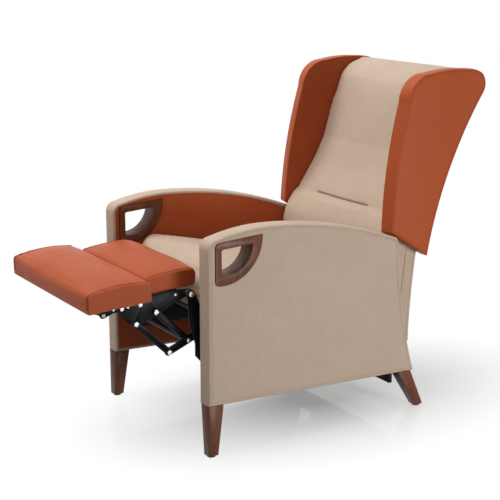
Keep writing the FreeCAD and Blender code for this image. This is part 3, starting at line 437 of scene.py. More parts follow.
def from_lists(name, points, faces, edges=()):
    mesh = bpy.data.meshes.new(name)
    mesh.from_pydata([tuple(p) for p in points], list(edges), faces)
    mesh.update()
    return mesh


def smooth(mesh, angle=None):
    """Shade a mesh smooth, with edges sharper than angle kept."""
    mesh.polygons.foreach_set("use_smooth", [True] * len(mesh.polygons))
    if angle is not None:
        mesh.set_sharp_from_angle(angle=math.radians(angle))
    mesh.update()
    return mesh


def shells(node):
    """The separate closed surfaces of a CAD node, merged: lists of (points, faces)."""
    found, met = [], set()
    with edited(NODES[node].data, False) as bm:
        bmesh.ops.remove_doubles(bm, verts=bm.verts, dist=2e-6)
        bm.verts.index_update()
        bm.faces.index_update()
        for first in bm.faces:
            if first in met:
                continue
            met.add(first)
            stack, island = [first], [first]
            while stack:
                for edge in stack.pop().edges:
                    fresh = [face for face in edge.link_faces if face not in met]
                    met.update(fresh)
                    stack += fresh
                    island += fresh
            island.sort(key=lambda f: f.index)
            verts = sorted({v for face in island for v in face.verts}, key=lambda v: v.index)
            order = {v: i for i, v in enumerate(verts)}
            found.append(([v.co.copy() for v in verts],
                          [[order[v] for v in f.verts] for f in island]))
    return found


def cad_mesh(name, node, outer_only=False):
    """A merged copy of a CAD node, or of its outermost surface alone."""
    found = shells(node)
    if outer_only:
        found = [max(found, key=lambda shell: float(np.prod(np.ptp(np.array(shell[0]), axis=0))))]
    points, faces = [], []
    for own, loops in found:
        faces += [[i + len(points) for i in loop] for loop in loops]
        points += own
    return from_lists(name, points, faces)


def applied(piece):
    """The piece with its modifiers applied to its mesh."""
    bpy.context.view_layer.update()
    view = bpy.context.evaluated_depsgraph_get()
    mesh = bpy.data.meshes.new_from_object(piece.evaluated_get(view), depsgraph=view)
    old = piece.data
    piece.modifiers.clear()
    piece.data = mesh
    mesh.name = piece.name
    bpy.data.meshes.remove(old)
    return piece


def modified(piece, kind, **settings):
    """The piece with one modifier applied."""
    modifier = piece.modifiers.new(kind.lower(), kind)
    for key, value in settings.items():
        setattr(modifier, key, value)
    return applied(piece)


def softened(node, name, width, slot, segments=2):
    """A CAD node's copy with its edges rounded, in place of the node."""
    mesh = cad_mesh(name, node)
    with edited(mesh) as bm:
        bmesh.ops.dissolve_limit(bm, angle_limit=math.radians(0.5), verts=bm.verts,
                                 edges=bm.edges)
        bmesh.ops.triangulate(bm, faces=[f for f in bm.faces if len(f.verts) > 4])
    piece = modified(link(name, mesh, MADE[slot]()), "BEVEL", width=width, segments=segments,
                     limit_method="ANGLE", angle_limit=math.radians(25),
                     use_clamp_overlap=True, harden_normals=True)
    smooth(piece.data, 40)
    return finished(piece, body_of(node), slot, node)


def finished(piece, body, slot, *nodes, fill=None):
    """Put a piece on its body and hide the nodes that it stands in for."""
    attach(piece, body)
    if nodes:
        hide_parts(*nodes)
    return piece


def body_of(node):
    for body, members in frame["record"]["behaviour"]["bodies"].items():
        if node in members:
            return body
    raise RuntimeError(f"no body holds {node}")


def vectors(mesh, key="co"):
    """A mesh's points, or with the key normal its vertex normals, as rows."""
    array = np.empty(len(mesh.vertices) * 3, np.float64)
    mesh.vertices.foreach_get(key, array)
    return array.reshape(-1, 3)


def set_coords(mesh, array):
    mesh.vertices.foreach_set("co", np.ascontiguousarray(array, np.float32).ravel())
    mesh.update()


# Stuffed pieces

def evened_out(mesh, move, rounds):
    """Moves of a mesh's points, each averaged with its neighbours' a number of times."""
    ends = np.empty(len(mesh.edges) * 2, np.int64)
    mesh.edges.foreach_get("vertices", ends)
    first, second = ends.reshape(-1, 2).T
    count = len(move)
    share = np.bincount(first, minlength=count) + np.bincount(second, minlength=count)
    for _ in range(rounds):
        near = np.stack([np.bincount(first, axis[second], count)
                         + np.bincount(second, axis[first], count) for axis in move.T], axis=1)
        move = 0.5 * move + 0.5 * near / np.maximum(share, 1)[:, None]
    return move


def plumped(piece, held, pressure, voxel=None, swell=None, slack=None, rounds=8):
    """Blow a closed piece up as cloth; held(points) marks what its frame holds still.

    slack is how much smaller it starts, swell the most that a point moves, and rounds
    how often the moves are evened out.
    """
    voxel = voxel or covers().voxel
    swell = swell or covers().swell
    slack = slack or covers().slack
    modified(piece, "REMESH", mode="VOXEL", voxel_size=voxel, use_smooth_shade=True)
    mesh = piece.data
    start = vectors(mesh)
    still = np.clip(held(start), 0, 1)
    loose = slack * (1 - still)[:, None]
    start = start - vectors(mesh, "normal") * loose
    set_coords(mesh, start)
    move = blown(piece, still, pressure) - start
    far = np.linalg.norm(move, axis=1)
    move *= (swell * np.tanh(far / swell) / np.maximum(far, 1e-9))[:, None]
    set_coords(mesh, start + evened_out(mesh, move, rounds))
    modified(piece, "SUBSURF", levels=1, render_levels=1)
    smooth(piece.data)
    return piece


def blown(piece, still, pressure):
    """Where a piece's points are after the cloth run."""
    group = piece.vertex_groups.new(name="held")
    firm = np.round(still, 1)
    for weight in np.unique(firm[firm > 0]):
        group.add([int(i) for i in np.nonzero(firm == weight)[0]], float(weight), "REPLACE")
    cloth = piece.modifiers.new("stuffing", "CLOTH")
    for key, value in (("quality", 5), ("mass", 0.3), ("tension_stiffness", 15),
                       ("compression_stiffness", 15), ("shear_stiffness", 5),
                       ("bending_stiffness", 1.5), ("use_pressure", True),
                       ("uniform_pressure_force", pressure), ("vertex_group_mass", "held")):
        setattr(cloth.settings, key, value)
    cloth.settings.effector_weights.gravity = 0
    cloth.collision_settings.use_collision = False
    cloth.point_cache.frame_start = 1
    cloth.point_cache.frame_end = CLOTH_FRAMES
    scene = bpy.context.scene
    for frame_number in range(1, CLOTH_FRAMES + 1):
        scene.frame_set(frame_number)
    points = vectors(piece.evaluated_get(bpy.context.evaluated_depsgraph_get()).data)
    scene.frame_set(1)
    piece.modifiers.clear()
    piece.vertex_groups.clear()
    return points


def side_hold(points, node, inset=0.010):
    """How firmly a cushion's side seams hold points near a node's sides."""
    return np.clip((np.abs(points[:, 0]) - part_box(node)[1].x + inset) / 0.006, 0, 1)


def nearest(paths, points):
    """Distance of points to the nearest point of some paths."""
    spots = [p for path in paths for p in path]
    tree = kdtree.KDTree(len(spots))
    for index, spot in enumerate(spots):
        tree.insert(spot, index)
    tree.balance()
    return np.array([tree.find(p)[2] for p in points])


def dense(path, step, closed=False):
    """A path with a point at every step of its length."""
    points = [Vector(p) for p in path] + ([Vector(path[0])] if closed else [])
    out = []
    for here, there in zip(points, points[1:]):
        count = max(1, int(round((there - here).length / step)))
        out += [here.lerp(there, i / count) for i in range(count)]
    return out if closed else out + [points[-1]]


def grooved(piece, paths, depth, width):
    """Press a groove into a piece along paths."""
    mesh = piece.data
    points = vectors(mesh)
    far = nearest([dense(p, width * 0.5) for p in paths], points)
    press = (depth * np.exp(-(far / width) ** 2))[:, None]
    set_coords(mesh, points - vectors(mesh, "normal") * press)


def cut_paths(piece, x, keep):
    """The ordered lines in which the plane at x cuts a piece, where keep(point) holds."""
    paths, ends = [], {}
    with edited(piece.data, False) as bm:
        cut = bmesh.ops.bisect_plane(bm, geom=bm.verts[:] + bm.edges[:] + bm.faces[:],
                                     plane_co=(x, 0, 0), plane_no=(1, 0, 0))["geom_cut"]
        edges = dict.fromkeys(e for e in cut if isinstance(e, bmesh.types.BMEdge)
                              and all(keep(v.co) for v in e.verts))
        for edge in edges:
            for vert in edge.verts:
                ends.setdefault(vert, []).append(edge)
        while edges:
            vert = next((v for v, own in ends.items() if sum(e in edges for e in own) == 1),
                        next(iter(edges)).verts[0])
            path = [vert.co.copy()]
            while True:
                ahead = next((e for e in ends[vert] if e in edges), None)
                if ahead is None:
                    break
                del edges[ahead]
                vert = ahead.other_vert(vert)
                path.append(vert.co.copy())
            if len(path) > 8:
                paths.append(path)
    return paths


def onto_front(piece, points, lift=0.0, reach=0.3):
    """Points moved rearwards until they meet a piece."""
    tree = BVHTree.FromPolygons([v.co for v in piece.data.vertices],
                                [list(p.vertices) for p in piece.data.polygons])
    way = Vector((0, 1, 0))
    hits = [tree.ray_cast(Vector(point) - way * reach, way, 2 * reach) for point in points]
    return [spot + normal * lift for spot, normal, _, _ in hits if spot is not None]


# Geometry Nodes

def closing(tree, given, made, out):
    """Realize, shade smooth, set the material and put out."""
    real = add(tree, "GeometryNodeRealizeInstances", {0: made})
    even = add(tree, "GeometryNodeSetShadeSmooth", {0: real.outputs[0]})
    paint = add(tree, "GeometryNodeSetMaterial", {0: even.outputs[0],
                                                  "Material": given["Material"]})
    wire(tree, out, {0: paint.outputs[0]})
    return tree


def geometry_tree(name, sockets):
    """A geometry node group with a geometry, named numbers and a material as inputs."""
    tree = bpy.data.node_groups.new(name, "GeometryNodeTree")
    tree.is_modifier = True
    tree.interface.new_socket("Geometry", in_out="INPUT", socket_type="NodeSocketGeometry")
    for label, value in sockets.items():
        kind = "NodeSocketInt" if isinstance(value, int) else "NodeSocketFloat"
        tree.interface.new_socket(label, in_out="INPUT", socket_type=kind).default_value = value
    tree.interface.new_socket("Material", in_out="INPUT", socket_type="NodeSocketMaterial")
    tree.interface.new_socket("Geometry", in_out="OUTPUT", socket_type="NodeSocketGeometry")
    return tree, tree.nodes.new("NodeGroupInput").outputs, tree.nodes.new("NodeGroupOutput")


@once("node_groups")
def welt_tree(name):
    """A round cord along every line of edges."""
    tree, given, out = geometry_tree(name, {"Radius": 0.0015, "Sides": 8})
    line = add(tree, "GeometryNodeMeshToCurve", {"Mesh": given["Geometry"]})
    ring = add(tree, "GeometryNodeCurvePrimitiveCircle", {"Radius": given["Radius"],
                                                          "Resolution": given["Sides"]})
    tube = add(tree, "GeometryNodeCurveToMesh", {
        "Fill Caps": True, "Curve": line.outputs["Curve"], "Profile Curve": ring.outputs["Curve"]})
    return closing(tree, given, tube.outputs["Mesh"], out)


@once("node_groups")
def stitch_tree(name):
    """Stitches at a pitch along every line of edges."""
    tree, given, out = geometry_tree(name, {"Length": 0.004, "Pitch": 0.0056, "Thread": 0.0004,
                                            "Seed": 7})
    line = add(tree, "GeometryNodeMeshToCurve", {"Mesh": given["Geometry"]})
    steps = add(tree, "GeometryNodeResampleCurve", {"Curve": line.outputs["Curve"],
                                                    "Length": given["Pitch"]}, mode="LENGTH")
    bead = add(tree, "GeometryNodeMeshUVSphere", {"Segments": 6, "Rings": 4, "Radius": 1.0})
    vary = add(tree, "FunctionNodeRandomValue", {2: 0.46, 3: 0.54, "Seed": given["Seed"]},
               data_type="FLOAT")
    along = add(tree, "GeometryNodeInputTangent")
    aim = add(tree, "FunctionNodeAlignRotationToVector", {"Vector": along.outputs["Tangent"]},
              axis="Z")
    half = calc(tree, "MULTIPLY", given["Length"], vary.outputs[1])
    size = add(tree, "ShaderNodeCombineXYZ", {"X": given["Thread"], "Y": given["Thread"],
                                              "Z": half})
    put = add(tree, "GeometryNodeInstanceOnPoints", {
        "Points": steps.outputs["Curve"], "Instance": bead.outputs["Mesh"],
        "Rotation": aim.outputs["Rotation"], "Scale": size.outputs["Vector"]})
    return closing(tree, given, put.outputs["Instances"], out)


@once("node_groups")
def rivet_tree(name):
    """A low dome at every point, as large as the point's radius and turned to its side."""
    tree, given, out = geometry_tree(name, {"Rise": 0.42})
    spots = add(tree, "GeometryNodeMeshToPoints", {"Mesh": given["Geometry"]})
    dome = add(tree, "GeometryNodeMeshUVSphere", {"Segments": 16, "Rings": 8, "Radius": 1.0})
    radius = add(tree, "GeometryNodeInputNamedAttribute", {"Name": "head_radius"},
                 data_type="FLOAT").outputs[0]
    size = add(tree, "ShaderNodeCombineXYZ", {
        "X": calc(tree, "MULTIPLY", radius, given["Rise"]), "Y": radius, "Z": radius})
    put = add(tree, "GeometryNodeInstanceOnPoints", {
        "Points": spots.outputs[0], "Instance": dome.outputs["Mesh"],
        "Scale": size.outputs["Vector"]})
    return closing(tree, given, put.outputs["Instances"], out)


def grown(name, mesh, tree, body, slot, **values):
    """The plain mesh that a node tree makes from a mesh of points or lines, on its body."""
    seed = link(name + "_lines", mesh)
    modifier = seed.modifiers.new("nodes", "NODES")
    modifier.node_group = tree
    for item in tree.interface.items_tree:
        if item.in_out == "INPUT" and item.name.lower() in values:
            modifier[item.identifier] = values[item.name.lower()]
    bpy.context.view_layer.update()
    view = bpy.context.evaluated_depsgraph_get()
    made = bpy.data.meshes.new_from_object(seed.evaluated_get(view), depsgraph=view)
    bpy.data.objects.remove(seed)
    made.name = name
    if not made.polygons:
        raise RuntimeError(f"{name} came out empty")
    return finished(in_scene(name, made), body, slot)


def lines(name, paths, closed=False):
    """A mesh of edges along paths."""
    points, edges = [], []
    for path in paths:
        first = len(points)
        points += [tuple(p) for p in path]
        edges += [(i, i + 1) for i in range(first, len(points) - 1)]
        if closed:
            edges.append((len(points) - 1, first))
    return from_lists(name, points, [], edges)


def welt(name, paths, body, slot, closed=False, radius=None):
    grown(name, lines(name, paths, closed), welt_tree("Welt"), body, slot,
          radius=radius or covers().welt, sides=8, material=MADE[slot]())


def stitches(name, paths, body, slot, closed=False):
    size = covers()
    grown(name, lines(name, paths, closed), stitch_tree("Stitches"), body, slot,
          length=size.stitch, pitch=size.stitch_pitch, thread=size.thread, seed=studio().seed,
          material=THREADS[slot]())


# Panels and bands on boards

def face_loops(node, side):
    """Outlines of a plate's face that looks along X to a side, the largest first: (y, z) lists."""
    loops = []
    with edited(cad_mesh(node + "_face", node, True), False) as bm:
        bm.normal_update()
        flat = {f for f in bm.faces if f.normal.x * side > 0.97}
        rim = dict.fromkeys(e for e in bm.edges if sum(f in flat for f in e.link_faces) == 1)
        while rim:
            edge = next(iter(rim))
            start, vert = edge.verts
            loop = [start.co.copy()]
            while edge:
                del rim[edge]
                loop.append(vert.co.copy())
                edge = vert is not start and next((e for e in vert.link_edges if e in rim), None)
                vert = edge.other_vert(vert) if edge else vert
            loops.append(anticlockwise([(p.y, p.z) for p in loop[:-1]]))
    loops.sort(key=lambda loop: -abs(loop_area(loop)))
    return loops


def loop_area(loop):
    return 0.5 * sum(a[0] * b[1] - b[0] * a[1] for a, b in zip(loop, loop[1:] + loop[:1]))


def anticlockwise(loop):
    return loop if loop_area(loop) > 0 else loop[::-1]


def runs(loop, corner=22):
    """The stretches of a closed outline from corner to corner, as lists of points."""
    points = [Vector(p) for p in loop]
    count = len(points)
    keep = []
    for i, here in enumerate(points):
        before, after = here - points[i - 1], points[(i + 1) % count] - here
        if min(before.length, after.length) > SAME and before.angle(after) > math.radians(corner):
            keep.append(i)
    keep = keep or [0]
    found = []
    for first, last in zip(keep, keep[1:] + keep[:1]):
        steps = (last - first) % count or count
        found.append([points[(first + k) % count] for k in range(steps + 1)])
    return found


def run_length(run):
    return sum((b - a).length for a, b in zip(run, run[1:]))


def spread(run, parts):
    """A stretch divided evenly, without its last point."""
    spans = np.cumsum([0.0] + [(b - a).length for a, b in zip(run, run[1:])])
    array = np.array([tuple(p) for p in run])
    want = np.linspace(0, spans[-1], parts + 1)[:-1]
    return [tuple(p) for p in np.stack([np.interp(want, spans, c) for c in array.T], 1).tolist()]


def steps_of(run, step):
    return max(1, round(run_length(run) / step))


def evened(loop, step):
    """A closed outline with points at every step, its corners kept."""
    return [p for run in runs(loop) for p in spread(run, steps_of(run, step))]


def matched(first, second, step):
    """Two outlines of like form, evened so that their points correspond."""
    ours, theirs = runs(first), runs(second)
    if len(ours) != len(theirs):
        raise RuntimeError(f"outlines have {len(ours)} and {len(theirs)} corners")
    start = min(range(len(theirs)), key=lambda k: (theirs[k][0] - ours[0][0]).length)
    theirs = theirs[start:] + theirs[:start]
    pairs = [(a, b, steps_of(a, step)) for a, b in zip(ours, theirs)]
    return ([p for a, _, parts in pairs for p in spread(a, parts)],
            [p for _, b, parts in pairs for p in spread(b, parts)])


def drawn_in(loop, by):
    """An anticlockwise outline moved inwards, mitred at its corners."""
    points = [Vector(p) for p in loop]
    count = len(points)
    out = []
    for i, here in enumerate(points):
        before = (here - points[i - 1]).normalized()
        after = (points[(i + 1) % count] - here).normalized()
        first, last = Vector((-before.y, before.x)), Vector((-after.y, after.x))
        out.append(tuple(here + (first + last) * (by / max(0.35, 1 + first.dot(last)))))
    return out


def inside(loop, point):
    """Whether a point lies inside an outline."""
    odd = False
    y, z = point
    for (ay, az), (by, bz) in zip(loop, loop[1:] + loop[:1]):
        if (az > z) != (bz > z) and y < (by - ay) * (z - az) / (bz - az) + ay:
            odd = not odd
    return odd


def between(outline, holes, point):
    return inside(outline, point) and not any(inside(hole, point) for hole in holes)


def panel(name, loops, plane, outward, thick, crown, step=0.012):
    """A stuffed panel on a board.

    loops are its outline and holes; plane(y, z) is the board's face; outward is the
    way along X that the panel faces. Its edges are rounded off and its middle is full.
    """
    edge = PANEL_EDGE
    rows = (0.0, 0.12, 0.35, 0.65, 1.0)
    rings = [drawn_in(evened(loop, step * 0.6), edge * row * (-1 if hole else 1))
             for hole, loop in enumerate(loops) for row in rows]
    points, edges = [], []
    for ring in rings:
        first = len(points)
        points += ring
        edges += [(first + i, first + (i + 1) % len(ring)) for i in range(len(ring))]
    outline, *holes = rings[::len(rows)]
    (y0, z0), (y1, z1) = np.min(outline, 0), np.max(outline, 0)
    clear = edge * 1.6
    core, blocked = drawn_in(outline, clear), [drawn_in(hole, -clear) for hole in holes]
    for j, z in enumerate(np.arange(z0 + step, z1, step)):
        for y in np.arange(y0 + step, y1, step) + (0.5 * step if j % 2 else 0):
            if between(core, blocked, (float(y), float(z))):
                points.append((float(y), float(z)))
    verts, _, tris, _, _, _ = geometry.delaunay_2d_cdt([Vector(p) for p in points], edges, [], 0,
                                                       SAME)
    flat = [tuple(v) for v in verts]
    kept = [list(tri) for tri in tris
            if between(outline, holes, [sum(flat[i][k] for i in tri) / 3 for k in (0, 1)])]
    far = nearest([dense([(*p, 0) for p in ring], 0.002, True) for ring in [outline] + holes],
                  [Vector((*p, 0)) for p in flat])
    rise = np.where(far < edge, np.sqrt(np.clip(edge ** 2 - (edge - far) ** 2, 0, None)), edge)
    rise = thick - edge + rise + crown * (1 - np.exp(-(far / 0.05)))
    top = [(plane(y, z) + outward * float(h), y, z) for (y, z), h in zip(flat, rise)]
    back = [(plane(y, z), y, z) for y, z in flat]
    count = len(flat)
    faces = [tri if outward > 0 else tri[::-1] for tri in kept]
    uses = dict.fromkeys((a, b) for tri in faces for a, b in zip(tri, tri[1:] + tri[:1]))
    faces += [[i + count for i in tri[::-1]] for tri in faces]
    faces += [[b, a, a + count, b + count] for a, b in uses if (b, a) not in uses]
    mesh = from_lists(name, top + back, faces)
    with edited(mesh) as bm:
        bmesh.ops.delete(bm, geom=[v for v in bm.verts if not v.link_faces], context="VERTS")
        bmesh.ops.recalc_face_normals(bm, faces=bm.faces)
    return smooth(mesh, 50)


def band(name, near, far, inner, outer, inset, radius):
    """A cover round a board's edges.

    near and far are its outlines at its inner and outer face, point for point; inner and
    outer give those faces' X at (y, z).
    """
    arcs = [(radius * (1 - math.sin(a)), radius * (1 - math.cos(a)))
            for a in np.linspace(0, math.pi / 2, 5)]
    profile = [(inset + 0.002, 0.0022), (inset - 0.0002, 0.0012), (inset - 0.0015, 0.0002)]
    profile += [(o, d) for o, d in arcs if o < inset - 0.002]
    ways = [(o, d, 0.0) for o, d in profile]
    ways += [(-0.0004, 0.0, share) for share in (0.35, 0.5, 0.65)]
    ways += [(o, -d, 1.0) for o, d in profile[::-1]]
    points, faces = [], []
    for offset, depth, share in ways:
        for low, high in zip(drawn_in(near, offset), drawn_in(far, offset)):
            y, z = Vector(low).lerp(Vector(high), share)
            start, end = inner(y, z), outer(y, z)
            points.append((start + (end - start) * share + math.copysign(1, end) * depth, y, z))
    count, total = len(near), len(points)
    for k in range(0, total, count):
        ahead = (k + count) % total
        faces += [[k + i, k + (i + 1) % count, ahead + (i + 1) % count, ahead + i]
                  for i in range(count)]
    mesh = from_lists(name, points, faces)
    with edited(mesh) as bm:
        bmesh.ops.recalc_face_normals(bm, faces=bm.faces)
    return smooth(mesh, 50)


def leaning_face(node, side):
    """X of a plate's face that looks to a side, as a straight line over the height."""
    mesh = cad_mesh(node + "_slope", node, True)
    spots = [mesh.vertices[i].co for face in mesh.polygons for i in face.vertices
             if face.normal.x * side > 0.97 and abs(face.normal.x) < 0.99999]
    slope, start = np.polyfit([p.z for p in spots], [p.x for p in spots], 1)
    return lambda y, z: float(start + slope * z)


def level(x):
    return lambda y, z: x


def board_cover(name, mesh, body, slot, *nodes):
    """A cover on a board, in place of the nodes."""
    finished(link(name, mesh, MADE[slot]()), body, slot, *nodes, fill=BOARD_FILL)


def row_on(loop, inset, face, lift):
    """An outline drawn in and put on a face, lifted off it along X."""
    return [[(face(y, z) + lift, y, z) for y, z in drawn_in(loop, inset)]]


class RECLINER_OT_arms(bpy.types.Operator):
    """Covers on both arms: band, outer and inner panels, welts and stitches"""
    bl_idname = "recliner.arms"
    bl_label = "Arm covers"

    def execute(self, context):
        size = covers()
        for word, side in SIDES:
            low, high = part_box(f"arm_outer_pad_{word}")
            inner_low, inner_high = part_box(f"arm_inner_pad_{word}")
            outer_x = high.x if side > 0 else low.x
            inner_x = inner_low.x if side > 0 else inner_high.x
            whole = evened(face_loops(f"arm_outer_pad_{word}", side)[0], OUTLINE_STEP)
            loops = face_loops(f"arm_inner_pad_{word}", side)
            board_cover(f"arm_band_{word}",
                        band("arm_band", whole, whole, level(inner_x), level(outer_x),
                             size.seam_inset, size.band_round),
                        "base", "beige_leather", f"arm_edge_band_{word}")
            seam = evened(loops[0], SEAM_STEP)
            faces = (("outer", outer_x, side, "beige_leather"),
                     ("inner", inner_x, -side, "rust_leather"))
            for label, x, way, slot in faces:
                board_cover(f"arm_{label}_cover_{word}",
                            panel(f"arm_{label}_cover", loops, level(x - way * ARM_PANEL), way,
                                  ARM_PANEL - 0.0004, size.arm_crown),
                            "base", slot, f"arm_{label}_pad_{word}")
            for label, x, way, slot in faces:
                welt(f"arm_{label}_welt_{word}", row_on(seam, 0.0002, level(x), -way * 0.0012),
                     "base", "beige_leather", closed=True)
                stitches(f"arm_{label}_stitches_{word}",
                         row_on(seam, ROW_GAP, level(x), -way * THREAD_LIFT), "base", slot,
                         closed=True)
        return {"FINISHED"}


class RECLINER_OT_wings(bpy.types.Operator):
    """Covers on both wings, with their welts and stitches"""
    bl_idname = "recliner.wings"
    bl_label = "Wing covers"

    def execute(self, context):
        size = covers()
        for word, side in SIDES:
            node = f"wing_pad_{word}"
            faces = {way: leaning_face(node, way) for way in (-side, side)}
            near, far = matched(face_loops(node, -side)[0], face_loops(node, side)[0],
                                OUTLINE_STEP)
            far_seam = drawn_in(far, size.wing_seam)
            board_cover(f"wing_band_{word}",
                        band("wing_band", near, far, faces[-side], faces[side], size.wing_seam,
                             size.wing_round), "back", "rust_leather")
            for label, seam, way, depth, thick, crown, nodes in (
                    ("outer", far_seam, side, 0.014, 0.0136, size.wing_crown, [node]),
                    ("inner", drawn_in(near, size.wing_seam), -side, 0.012, 0.0118, 0.0, [])):
                board = faces[way]
                mesh = panel(f"wing_{label}_cover", [seam],
                             lambda y, z: board(y, z) - way * depth, way, thick, crown)
                board_cover(f"wing_{label}_cover_{word}", mesh, "back", "rust_leather", *nodes)
            welt(f"wing_welt_{word}", row_on(far_seam, 0, faces[side], -side * 0.0013),
                 "back", "rust_leather", closed=True)
            stitches(f"wing_stitches_{word}",
                     row_on(far_seam, ROW_GAP, faces[side], side * THREAD_LIFT), "back",
                     "rust_leather", closed=True)
        return {"FINISHED"}


def side_seams(piece, stem, body, slot, seam, row, groove, keep, radius=None):
    """Seams and stitches along both sides of a cushion, seam and row inside its sides."""
    half = max(abs(v.co.x) for v in piece.data.vertices)
    for word, side in SIDES:
        paths = cut_paths(piece, side * (half - seam), keep)
        grooved(piece, paths, *groove)
        welt(f"{stem}_welt_{word}", paths, body, slot, radius=radius)
        stitches(f"{stem}_stitches_{word}", cut_paths(piece, side * (half - row), keep), body,
                 slot)


class RECLINER_OT_seat(bpy.types.Operator):
    """The seat cushion, blown up over its deck"""
    bl_idname = "recliner.seat"
    bl_label = "Seat cushion"

    def execute(self, context):
        piece = link("seat_cushion_cover", cad_mesh("seat_cushion_cover", "seat_cushion", True),
                     beige_leather())
        low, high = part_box("seat_deck")
        fall = (high.z - low.z) / (high.y - low.y)

        def held(points):
            deck = high.z - fall * (points[:, 1] - low.y)
            bottom = np.clip((deck + 0.022 - points[:, 2]) / 0.012, 0, 1)
            return np.maximum(bottom, side_hold(points, "seat_cushion") * 0.9)

        plumped(piece, held, 2.2)
        finished(piece, "carriage", "beige_leather", "seat_cushion", fill=0.7)
        side_seams(piece, "seat", "carriage", "beige_leather", 0.017, 0.023, (0.0022, 0.0035),
                   lambda p: p.z > high.z + 0.02)
        return {"FINISHED"}


class RECLINER_OT_footrest_pads(bpy.types.Operator):
    """Both footrest pads with their side seams"""
    bl_idname = "recliner.footrest_pads"
    bl_label = "Footrest pads"

    def execute(self, context):
        rise = math.tan(math.radians(2.6))
        for label in ("outer", "inner"):
            node = f"footrest_{label}_pad"
            piece = link(f"footrest_{label}_cover", cad_mesh(node, node), rust_leather())
            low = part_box(f"{label}_pad_board")[0]

            def above(y, z):
                return z - low.z - rise * (y - low.y)

            def held(points):
                bottom = np.clip((0.0155 - above(points[:, 1], points[:, 2])) / 0.006, 0, 1)
                return np.maximum(bottom, side_hold(points, node))

            plumped(piece, held, 1.2, voxel=0.005, swell=0.006, slack=0.0018)
            finished(piece, "footrest", "rust_leather", node, fill=0.75)
            side_seams(piece, f"{label}_pad", "footrest", "rust_leather", 0.009, 0.0145,
                       (0.0016, 0.0028), lambda p: above(p.y, p.z) > 0.012, covers().pad_welt)
        return {"FINISHED"}


class RECLINER_OT_back(bpy.types.Operator):
    """The back cushion and lumbar pillow under one cover, with the tuck between them"""
    bl_idname = "recliner.back"
    bl_label = "Back cushion"

    def execute(self, context):
        points, faces = [], []
        for node, grow in (("back_cushion", 0.0), ("lumbar_pillow", 0.0035)):
            for own, loops in shells(node):
                faces += [[i + len(points) for i in loop] for loop in loops]
                top = max(p.z for p in own)
                points += [(p.x, p.y, p.z + grow * max(0, 1 - (top - p.z) / 0.03)) for p in own]
        piece = link("back_cover", from_lists("back_cover", points, faces), beige_leather())
        spine = np.unique([(round(v.co.z, 4), round(v.co.y, 4))
                           for v in NODES["rear_panel"].data.vertices], axis=0)
        order = np.linspace(spine[0, 0], spine[-1, 0], 60)
        skin = [spine[np.abs(spine[:, 0] - h) < 0.03, 1].max() for h in order]

        def held(spots):
            behind = np.interp(spots[:, 2], order, skin) - 0.047
            back = np.clip((spots[:, 1] - behind + 0.016) / 0.012, 0, 1)
            back = np.where(spots[:, 2] > 1.0, back * 0.4, back)
            return np.maximum(back, side_hold(spots, "back_cushion", 0.014) * 0.6)

        plumped(piece, held, 3.0, voxel=0.0065, swell=0.02, rounds=45)
        slit_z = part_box("back_cushion")[0].z
        self.tuck(piece.data, slit_z)
        fold = [(0.155, 0, slit_z - 0.006), (0.178, 0, slit_z - 0.03), (0.195, 0, slit_z - 0.06)]
        for side, depth in ((1, 0.003), (-1, 0.0015)):
            crease = onto_front(piece, [(side * p.x, 0.35, p.z) for p in dense(fold, 0.003)])
            if crease:
                grooved(piece, [crease], depth, 0.006)
        smooth(piece.data)
        finished(piece, "back", "beige_leather", "back_cushion", "lumbar_pillow", fill=0.7)
        row = [(x, 0.35, slit_z + 0.009) for x in np.arange(-0.118, 0.131, 0.004)]
        stitches("slit_stitches", [onto_front(piece, row, THREAD_LIFT)], "back", "beige_leather")
        return {"FINISHED"}

    def tuck(self, mesh, slit_z):
        """The tuck's groove, with the pillow full below it and the cushion drawn in above."""
        middle, half, fade = 0.004, 0.122, 0.022
        full, drawn, width = 0.011, 0.004, 0.0048
        spots = vectors(mesh)
        past_end = np.clip(np.abs(spots[:, 0] - middle) - half, 0, None)
        across = np.exp(-past_end ** 2 / fade ** 2) * (vectors(mesh, "normal")[:, 1] < -0.2)
        above = spots[:, 2] - slit_z
        lower = np.where(above < 0, np.exp(above / 0.035), 0) * np.clip(-above / 0.0035, 0, 1)
        upper = np.where(above >= 0, np.exp(-above / 0.02), 0)
        groove = covers().slit_depth * np.exp(-(above / width) ** 2)
        spots[:, 1] += (upper * drawn - lower * full + groove) * across
        set_coords(mesh, spots)


class RECLINER_OT_back_panels(bpy.types.Operator):
    """The back's rear panel and side panels in their cover"""
    bl_idname = "recliner.back_panels"
    bl_label = "Back panels"

    def execute(self, context):
        for node, name, width, segments in (
                ("rear_panel", "rear_cover", 0.004, 4),
                ("back_side_panels", "back_side_covers", 0.003, 3),
                ("back_cheek_left", "back_cheek_cover_left", 0.003, 3),
                ("back_cheek_right", "back_cheek_cover_right", 0.003, 3)):
            softened(node, name, width, "back_cover", segments)
        return {"FINISHED"}


class RECLINER_OT_woodwork(bpy.types.Operator):
    """Walnut legs and grip frames"""
    bl_idname = "recliner.woodwork"
    bl_label = "Legs and grips"

    def execute(self, context):
        for word, _ in SIDES:
            for node, name, width in ((f"grip_frame_{word}", f"grip_{word}", 0.0022),
                                      (f"front_leg_{word}", f"front_foot_{word}", 0.0018),
                                      (f"rear_leg_{word}", f"rear_foot_{word}", 0.0018)):
                softened(node, name, width, "walnut", 3)
        return {"FINISHED"}


